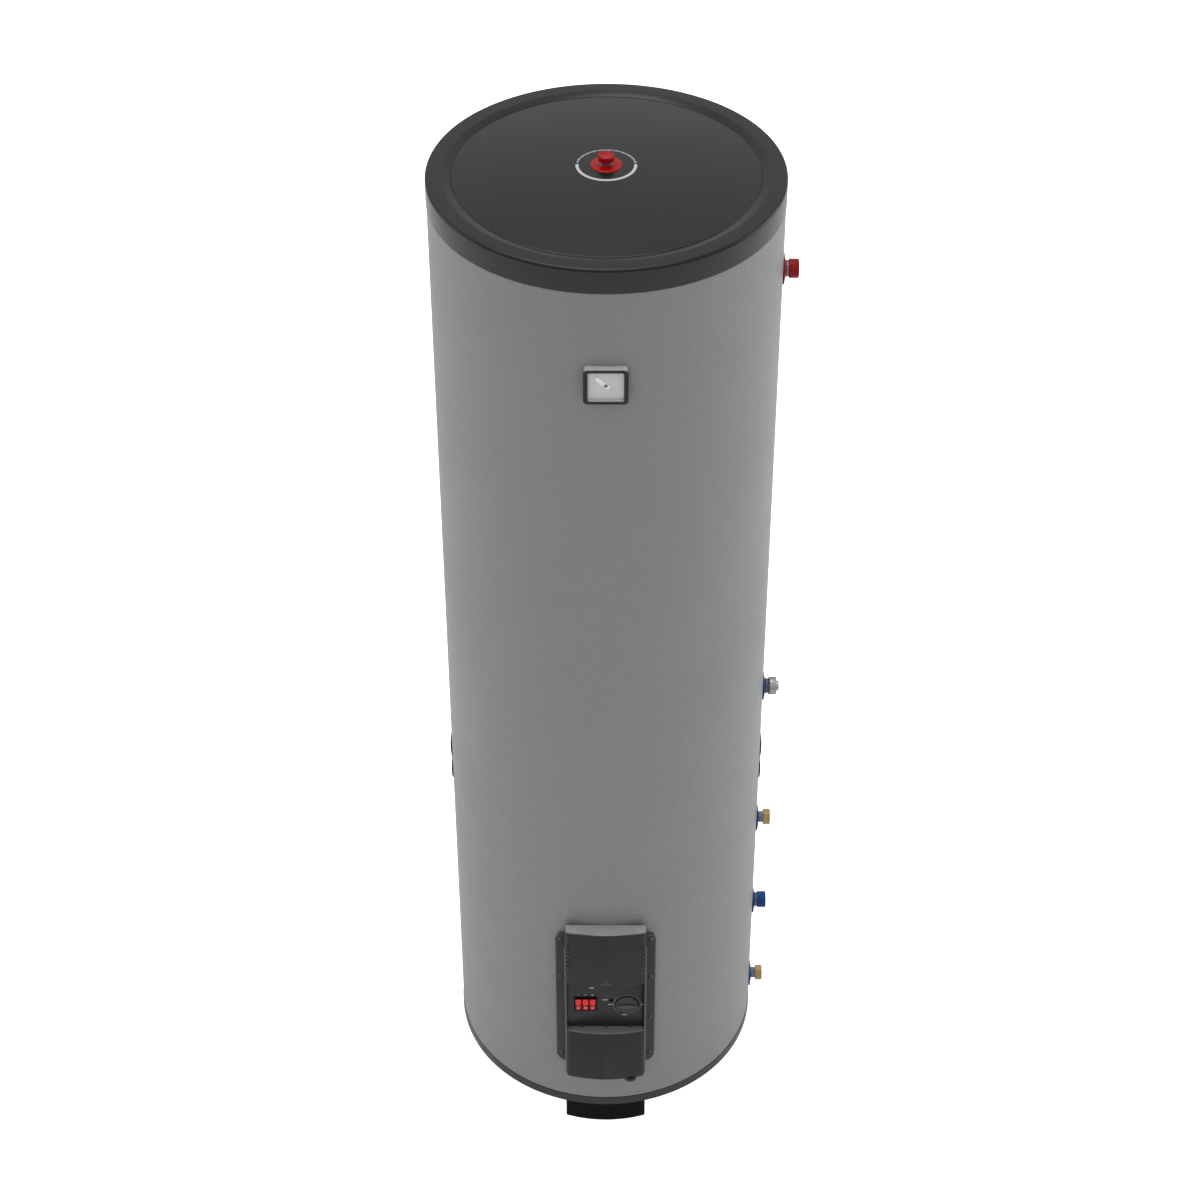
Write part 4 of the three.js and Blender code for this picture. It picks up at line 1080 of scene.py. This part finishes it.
def makeFrame():
    reach = housing["reach"]
    half = arcWidth(housing["halfWidth"], reach)
    low = (-half, -reach, housing["bottom"])
    high = (half, -jacket["radius"] + 0.6, housing["top"])
    piece = plate("housingFrame", low, high, (housing["lowerCorner"], housing["upperCorner"]), edge=2.2,
        edgeSteps=5,
                  cornerSteps=10)
    cutAway(piece, hatchTool(-reach - 5, -jacket["radius"] + 5))
    sliceAcross(piece, steps(-half, half, 4)[1:-1])
    wrapRound(piece, reach)
    finishPiece(piece, "framePlastic", "housing_plastic", stands=["housing_frame"])


rail = {"inner": 70.4, "outer": 74.2, "front": 297.6, "back": 287, "low": 213, "high": 549}


def makeRails():
    # the frame's two upright flanges, which the covers' sides close on; their pale tone is a painted highlight, the
    # light strip down the housing's rounded sides
    for name, side in (("frameRailRight", 1), ("frameRailLeft", -1)):
        across = sorted((side * rail["inner"], side * rail["outer"]))
        piece = block(name, (across[0], -rail["front"], rail["low"]), (across[1], -rail["back"], rail["high"]))
        softenEdges(piece, 1.6, 4)
        finishPiece(piece, "railPaintedHighlight", "housing_plastic")


def makeScrews():
    reach = housing["reach"] + 0.2
    angle = math.degrees(math.asin(82 / reach))
    heights = [housing["top"] - drop for drop in (11, 109, 217, 314.5)]
    head = lathe("screwHead", [
        (0, reach - 3), (4.4, reach - 3), (4.4, reach + 0.5), (4.0, reach + 1.3), (3.0, reach + 2.0),
        (1.6, reach + 2.4),
        (0, reach + 2.5),
    ], 40, "right")
    for turned in (0, math.pi / 2):
        cross = block("cross", (reach + 0.9, -2.6, -0.5), (reach + 4, 2.6, 0.5))
        placePiece(cross, turned=(turned, 0, 0))
        cutAway(head, cross)
    number = 1
    for side in (-1, 1):
        for height in heights:
            screw = copyPiece(head, f"housingScrew{number}")
            placePiece(screw, (0, 0, height), (0, 0, math.radians(-90 + side * angle)))
            finishPiece(screw, "screwBlackAndGlint", "black_steel", stands=[f"housing_screw_{number}"])
            number += 1
    bpy.data.objects.remove(head, do_unlink=True)


def coverBlock(name, bottom, top, lowerCorner, upperCorner, topEdge):
    # a block with leaning sides, rounded upright edges and a bowed front
    back, front = housing["coverBack"], housing["coverFront"]
    reach, seat = housing["coverReach"], housing["coverSeat"]
    piece = block(name, (-back, -reach, bottom), (back, -seat, top))
    middle = (bottom + top) / 2 * mm
    editPiece(piece)
    pickFaces(piece, lambda at, normal: normal.y < -0.9)
    bpy.ops.transform.resize(value=(front / back, 1, 1))
    if lowerCorner:
        pickEdges(piece, lambda at, way: abs(way.y) > 0.7 and at.z < middle)
        bevelPicked(lowerCorner, 8)
    if upperCorner:
        pickEdges(piece, lambda at, way: abs(way.y) > 0.7 and at.z > middle and abs(at.x) > 60 * mm)
        bevelPicked(upperCorner, 8)
    nose = -reach * mm
    pickEdges(piece, lambda at, way: abs(at.y - nose) < 1e-6 and abs(at.x) > 60 * mm)
    bevelPicked(housing["corner"], 6)
    pickEdges(piece, lambda at, way: abs(at.y - nose) < 1e-5 and abs(way.x) > 0.9 and abs(at.x) < 60 * mm)
    bevelPicked(topEdge, 4)
    leaveEdit()
    sliceAcross(piece, steps(-front, front, 4)[1:-1])
    for vertex in piece.data.vertices:
        share = min(1.0, max(0.0, (-vertex.co.y / mm - seat) / (reach - seat)))
        vertex.co.y += housing["bow"] * mm * share * (vertex.co.x / (front * mm)) ** 2
    return piece


vents = {
    "count": 6, "pitch": 10.2, "bottom": 494, "tilt": 32, "thick": 2.6, "cutX": 70, "cutY": -300, "ribX": 65.5,
    "ribY": -300.6,
}


def makeUpperCover():
    piece = coverBlock("upperCover", housing["upperLow"], housing["upperTop"], 0, 8, 2)
    for row in range(vents["count"]):
        for side in (-1, 1):
            height = vents["bottom"] + row * vents["pitch"]
            tool = block("vent", (-8, -6, -vents["thick"] / 2), (8, 6, vents["thick"] / 2))
            placePiece(tool, turned=(0, math.radians(-side * vents["tilt"]), 0))
            placePiece(tool, (side * vents["cutX"], vents["cutY"], height))
            cutAway(piece, tool)
    finishPiece(piece, "housingPlastic", "housing_plastic", stands=["upper_cover"])
    ribs = []
    for row in range(vents["count"]):
        for side in (-1, 1):
            height = vents["bottom"] + (row + 0.5) * vents["pitch"]
            rib = block("rib", (-7, -1.4, -1.1), (7, 1.4, 1.1))
            softenEdges(rib, 0.5, 2)
            placePiece(rib, turned=(0, math.radians(-side * vents["tilt"]), 0))
            placePiece(rib, (side * vents["ribX"], vents["ribY"], height))
            ribs.append(rib)
    slats = joinPieces(*ribs, name="ventRibs")
    finishPiece(slats, "coverPlastic", "housing_plastic")
    # three short ridges, each wider than the one above, show where to press
    ridges = []
    for height, half in ((477.4, 1.7), (471.4, 5.0), (465.4, 8.5)):
        reach = housing["coverReach"]
        ridge = block("ridge", (-half, -reach - 0.1, height - 1.5), (half, -reach + 1.5, height + 1.5))
        softenEdges(ridge, 0.7, 3)
        ridges.append(ridge)
    arrow = joinPieces(*ridges, name="coverArrow")
    for vertex in arrow.data.vertices:
        vertex.co.y += housing["bow"] * mm * (vertex.co.x / (housing["coverFront"] * mm)) ** 2 - 0.4 * mm
    finishPiece(arrow, "housingPale", "housing_plastic")


def makeLowerCover():
    top = housing["upperLow"] - 0.4
    piece = coverBlock("lowerCover", housing["lowerLow"], top, 6, 0, 2)
    for vertex in piece.data.vertices:
        if vertex.co.z < (housing["lowerLow"] + 12) * mm:
            vertex.co.z -= 3.0 * mm * (vertex.co.x / (housing["coverFront"] * mm)) ** 2
    bay = block("bay", (-housing["bay"], -330, housing["ledge"]), (housing["bay"], -270, top + 20))
    cutAway(piece, bay)
    editPiece(piece)
    level = housing["ledge"] * mm
    pickEdges(piece, lambda at, way: abs(at.z - level) < 1e-5 and abs(way.z) < 0.1 and at.y < -296 * mm
              and abs(at.x) < 69.8 * mm)
    bevelPicked(2.6, 5)
    leaveEdit()
    finishPiece(piece, "coverPlastic", "housing_plastic", stands=["lower_cover"])


# left, right, low and high of each hole, and the ribs' places across
panelPlan = {"switches": (-55, -18.4, 377.8, 410.2), "reset": (7, 12.6, 400.6, 406.2), "ribs": (-44, 0, 46)}


def makePanel():
    face, half = housing["panel"], housing["bay"] - 0.3
    piece = block("controlPanel", (-half, face, housing["ledge"] - 2), (half, face + 3, housing["upperLow"] + 8))
    for left, right, low, high in (panelPlan["switches"], panelPlan["reset"]):
        cutAway(piece, block("hole", (left, face - 5, low), (right, face + 5, high)))
    softenEdges(piece, 0.3, 2)
    ribs = []
    for x in panelPlan["ribs"]:
        rib = block("rib", (x - 1, face - 4, housing["ledge"] - 2), (x + 1, face + 1, housing["ledge"] + 8))
        editPiece(rib)
        pickEdges(rib, lambda at, way: abs(way.x) > 0.9 and at.y < face * mm and at.z > (housing["ledge"] + 4) * mm)
        bevelPicked(3.4, 3)
        leaveEdit()
        softenEdges(rib, 0.3, 2)
        ribs.append(rib)
    joinPieces(piece, *ribs)
    finishPiece(piece, "panelPlastic", "housing_plastic", stands=["control_panel"])


gland = (46.2, -294.5, 0)


def makeGland():
    profile = [
        (5.0, 197.2), (8.6, 197.1), (10.6, 197.6), (12.0, 199.0), (12.5, 200.8), (12.5, 206.0), (12.2, 206.4),
        (8.6, 206.6),
        (8.6, 214), (5.0, 214), (5.0, 197.2),
    ]
    piece = lathe("cableGland", profile, 72, "up", gland)
    finishPiece(piece, "blackRubber", "black_rubber", stands=["cable_gland"])


makeFrame()
makeRails()
makeScrews()
makeUpperCover()
makeLowerCover()
makePanel()
makeGland()
print("housing made")

switches = {
    "centre": -36.75, "height": 393.9, "halfWidth": 21.2, "halfHeight": 18.2, "pitch": 13, "rocker": 10.3,
    "tilt": 5,
    "halfRocker": 15.6,
}


def makeSwitches():
    face = housing["panel"]
    x, z = switches["centre"], switches["height"]
    bezel = plate(
        "switchFrame", (x - switches["halfWidth"], face - 1.6, z - switches["halfHeight"]),
        (x + switches["halfWidth"], face + 6, z + switches["halfHeight"]), 2, edge=0.7, edgeSteps=3,
    )
    pocketHalf = switches["halfRocker"] + 1.1
    for index in range(3):
        spot = x + (index - 1) * switches["pitch"]
        low = (spot - switches["rocker"] / 2 - 0.4, face - 10, z - pocketHalf)
        high = (spot + switches["rocker"] / 2 + 0.4, face + 5.4, z + pocketHalf)
        cutAway(bezel, block("pocket", low, high))
    finishPiece(bezel, "bezelBlack", "black_rubber", stands=["switch_frame"], smooth=25)
    for index in range(3):
        makeRocker(index + 1, x + (index - 1) * switches["pitch"], z)


def makeRocker(number, x, z):
    # two slopes that meet at the middle; the lower one is pressed in
    half, width = switches["halfRocker"], switches["rocker"] / 2
    pivot = housing["panel"] + 3
    piece = block(f"rocker{number}", (-width, -6.4, -half), (width, 3, half))
    sliceAcross(piece, [-half / 2, 0, half / 2], "z")
    for vertex in piece.data.vertices:
        if vertex.co.y < 0:
            share = abs(vertex.co.z) / (half * mm)
            vertex.co.y = -(4.6 + 1.0 * share**1.6) * mm
        else:
            vertex.co.z *= 0.45
    softenEdges(piece, 0.5, 3, 40)
    # painted light: the upper half of each rocker's face takes a lighter copy of the red
    addFinish(piece, "rockerRed")
    addFinish(piece, "rockerPaintedLight")
    for face in piece.data.polygons:
        if face.center.z > 0 and face.center.y < 0:
            face.material_index = 1
    bar = block("bar", (-0.7, -5.2, 0.6), (0.7, -4.0, 2.6))
    ring = lathe("ring", [(1.5, 4.6), (2.4, 4.6), (2.4, 5.6), (1.5, 5.6), (1.5, 4.6)], 32, "front", (0, 0, -9.4))
    for mark in (bar, ring):
        addFinish(mark, "rockerMark")
    joinPieces(piece, bar, ring)
    placePiece(piece, (x, pivot, z), (math.radians(switches["tilt"]), 0, 0))
    finishPiece(piece, None, "red_plastic", body=f"rocker_{number}", stands=[f"rocker_switch_{number}"], smooth=25)


knob = {"x": 39.5, "height": 392, "radius": 21.6, "disc": 4, "grip": 6, "scale": 25}


def makeKnob():
    back = -housing["panel"] + 0.3
    front = back + knob["disc"]
    r = knob["radius"]
    centre = (knob["x"], 0, knob["height"])
    disc = lathe("thermostatKnob", [
        (0, back - 12), (3, back - 12), (3, back), (r - 0.4, back), (r, back + 0.4), (r, front - 2.4),
        (r - 0.5, front - 1.4),
        (r - 1.6, front - 0.5), (r - 3.4, front), (14, front + 0.2), (8, front + 0.2), (0, front + 0.2),
    ], 120, "front", centre)
    # the grip is a bar with pointed ends, thickest in the middle
    grip = block("grip", (-r + 1.6, -front - knob["grip"] + 0.8, -4.4), (r - 1.6, -front + 2, 4.4))
    sliceAcross(grip, steps(-r + 0.8, r - 0.8, 1.6)[1:-1])
    for vertex in grip.data.vertices:
        share = min(1.0, abs(vertex.co.x) / ((r - 0.8) * mm))
        keep = 1 - share**2
        vertex.co.z *= max(0.10, keep)
        if vertex.co.y < -front * mm:
            vertex.co.z *= 0.72
            vertex.co.y += (1.6 + 1.6 * share**2) * mm
    softenEdges(grip, 0.6, 3, 40)
    placePiece(grip, centre)
    addFinish(disc, "knobPlastic")
    # the grip takes a lighter copy of the knob's plastic: painted light
    addFinish(grip, "gripPaintedLight")
    joinPieces(disc, grip, name="thermostatKnob")
    finishPiece(disc, None, "housing_plastic", body="knob", stands=["thermostat_knob"], smooth=30)


def faceMark(x, z, width, height, lift=0.12):
    face = housing["panel"]
    return block("mark", (x - width / 2, face - lift, z - height / 2), (x + width / 2, face + 0.3, z + height / 2))


def makePanelPrint():
    face = -housing["panel"]
    r = knob["scale"]
    across, height = knob["x"], knob["height"]
    arcs = []
    for middle, angle in ((30, 205), (-112, 60), (162, 26)):
        profile = ringBand(r - 0.45, r + 0.45, face - 0.3, face + 0.12)
        count = max(6, round(angle / 3))
        arcs.append(sweep("scaleArc", profile, 180 - middle, angle, count, "front", (across, 0, height)))
    ticks = [faceMark(across - r - 1.6, height, 3.2, 0.9), faceMark(across + r + 2.6, height, 4.6, 1.0)]
    ticks += [faceMark(across - r - 4.6 - 2.2 * step, height, 1.6, 1.7) for step in range(3)]
    labels = []
    for index in range(3):
        x = switches["centre"] + (index - 1) * switches["pitch"]
        labels += [faceMark(x + (step - index / 2) * 1.5, 417, 0.9, 2.6) for step in range(index + 1)]
    labels.append(faceMark(-25.4, 435.6, 8.4, 2.0))
    labels += [faceMark(4.0 - 2.4 * step, 404.4, 1.7, 1.8) for step in range(5)]
    labels += [faceMark(31.4 + 2.4 * step, 364.6, 1.7, 1.8) for step in range(4)]
    for arc in arcs:
        addFinish(arc, "scalePrint")
    for mark in ticks + labels:
        addFinish(mark, "printWhite")
    marks = joinPieces(*arcs, *ticks, *labels, name="panelPrint")
    finishPiece(marks, None, "housing_plastic")


reset = (9.8, 0, 403.4)


def makeReset():
    face = -housing["panel"]
    well = lathe("resetWell", [
        (2.5, face - 6), (4.1, face - 6), (4.1, face + 0.2), (3.7, face + 0.5), (2.9, face + 0.5),
        (2.5, face + 0.1),
        (2.5, face - 6),
    ], 48, "front", reset)
    finishPiece(well, "bezelBlack", "housing_plastic")
    pin = lathe("resetButton", [
        (0, face - 12.4), (2.2, face - 12.4), (2.2, face - 1.3), (1.9, face - 0.8), (1.2, face - 0.6),
        (0, face - 0.6),
    ], 40, "front", reset)
    finishPiece(pin, "bezelBlack", "red_plastic", body="reset", stands=["reset_button"])


makeSwitches()
makeKnob()
makePanelPrint()
makeReset()
print("controls made")

studio = {
    "floor": (0.78, 0.78, 0.78), "glow": 0.9, "horizon": 0.60, "zenith": 1.22,
    "key": {"size": 2.4, "power": 62, "spot": (-0.4, 0.5, 5.2)},
    "left": {"size": 2.4, "power": 18, "spot": (-3.4, 0.6, 2.2)},
    "right": {"size": 2.4, "power": 40, "spot": (3.4, 0.8, 2.4)},
}


def makeStudio():
    clearPick()
    bpy.ops.mesh.primitive_plane_add(size=40, location=(0, 0, 0))
    floor = bpy.context.object
    floor.name = "studioFloor"
    paper = bpy.data.materials.new("floorPaper")
    paper.use_nodes = True
    paperTree = paper.node_tree
    shader = paperTree.nodes["Principled BSDF"]
    setInputs(shader, {
        "Base Color": (*studio["floor"], 1), "Roughness": 0.9, "Specular IOR Level": 0.1,
        "Emission Color": (1, 1, 1, 1),
    })
    # the paper burns out to white in the picture but lights the object as paper does
    sight = addNode(paperTree, "LightPath")
    glow = mathNode(paperTree, "MULTIPLY", sight.outputs["Is Camera Ray"], studio["glow"])
    paperTree.links.new(glow, shader.inputs["Emission Strength"])
    floor.data.materials.append(paper)
    for name in ("key", "left", "right"):
        lamp = studio[name]
        bpy.ops.object.light_add(type="AREA", location=lamp["spot"])
        light = bpy.context.object
        light.name = name + "Softbox"
        light.data.size = lamp["size"]
        light.data.energy = lamp["power"]
        aim = Vector((0, 0, 1.1)) - Vector(lamp["spot"])
        light.rotation_euler = aim.to_track_quat("-Z", "Y").to_euler()
    world = bpy.data.worlds.new("studioWorld")
    bpy.context.scene.world = world
    world.use_nodes = True
    tree = world.node_tree
    soft = tree.nodes["Background"]
    soft.inputs["Color"].default_value = (1, 1, 1, 1)
    # the light around grows from the horizon upwards
    spot = addNode(tree, "TexCoord")
    split = addNode(tree, "SeparateXYZ")
    tree.links.new(spot.outputs["Generated"], split.inputs[0])
    rise = setInputs(addNode(tree, "MapRange"), {"To Min": studio["horizon"], "To Max": studio["zenith"]})
    tree.links.new(split.outputs["Z"], rise.inputs["Value"])
    tree.links.new(rise.outputs[0], soft.inputs["Strength"])
    seen = setInputs(addNode(tree, "Background"), {"Strength": 1.0, "Color": (1, 1, 1, 1)})
    path = addNode(tree, "LightPath")
    mix = addNode(tree, "MixShader")
    tree.links.new(path.outputs["Is Camera Ray"], mix.inputs[0])
    tree.links.new(soft.outputs[0], mix.inputs[1])
    tree.links.new(seen.outputs[0], mix.inputs[2])
    tree.links.new(mix.outputs[0], tree.nodes["World Output"].inputs["Surface"])
    bpy.context.scene.view_settings.view_transform = "Standard"


makeStudio()
print("studio made")
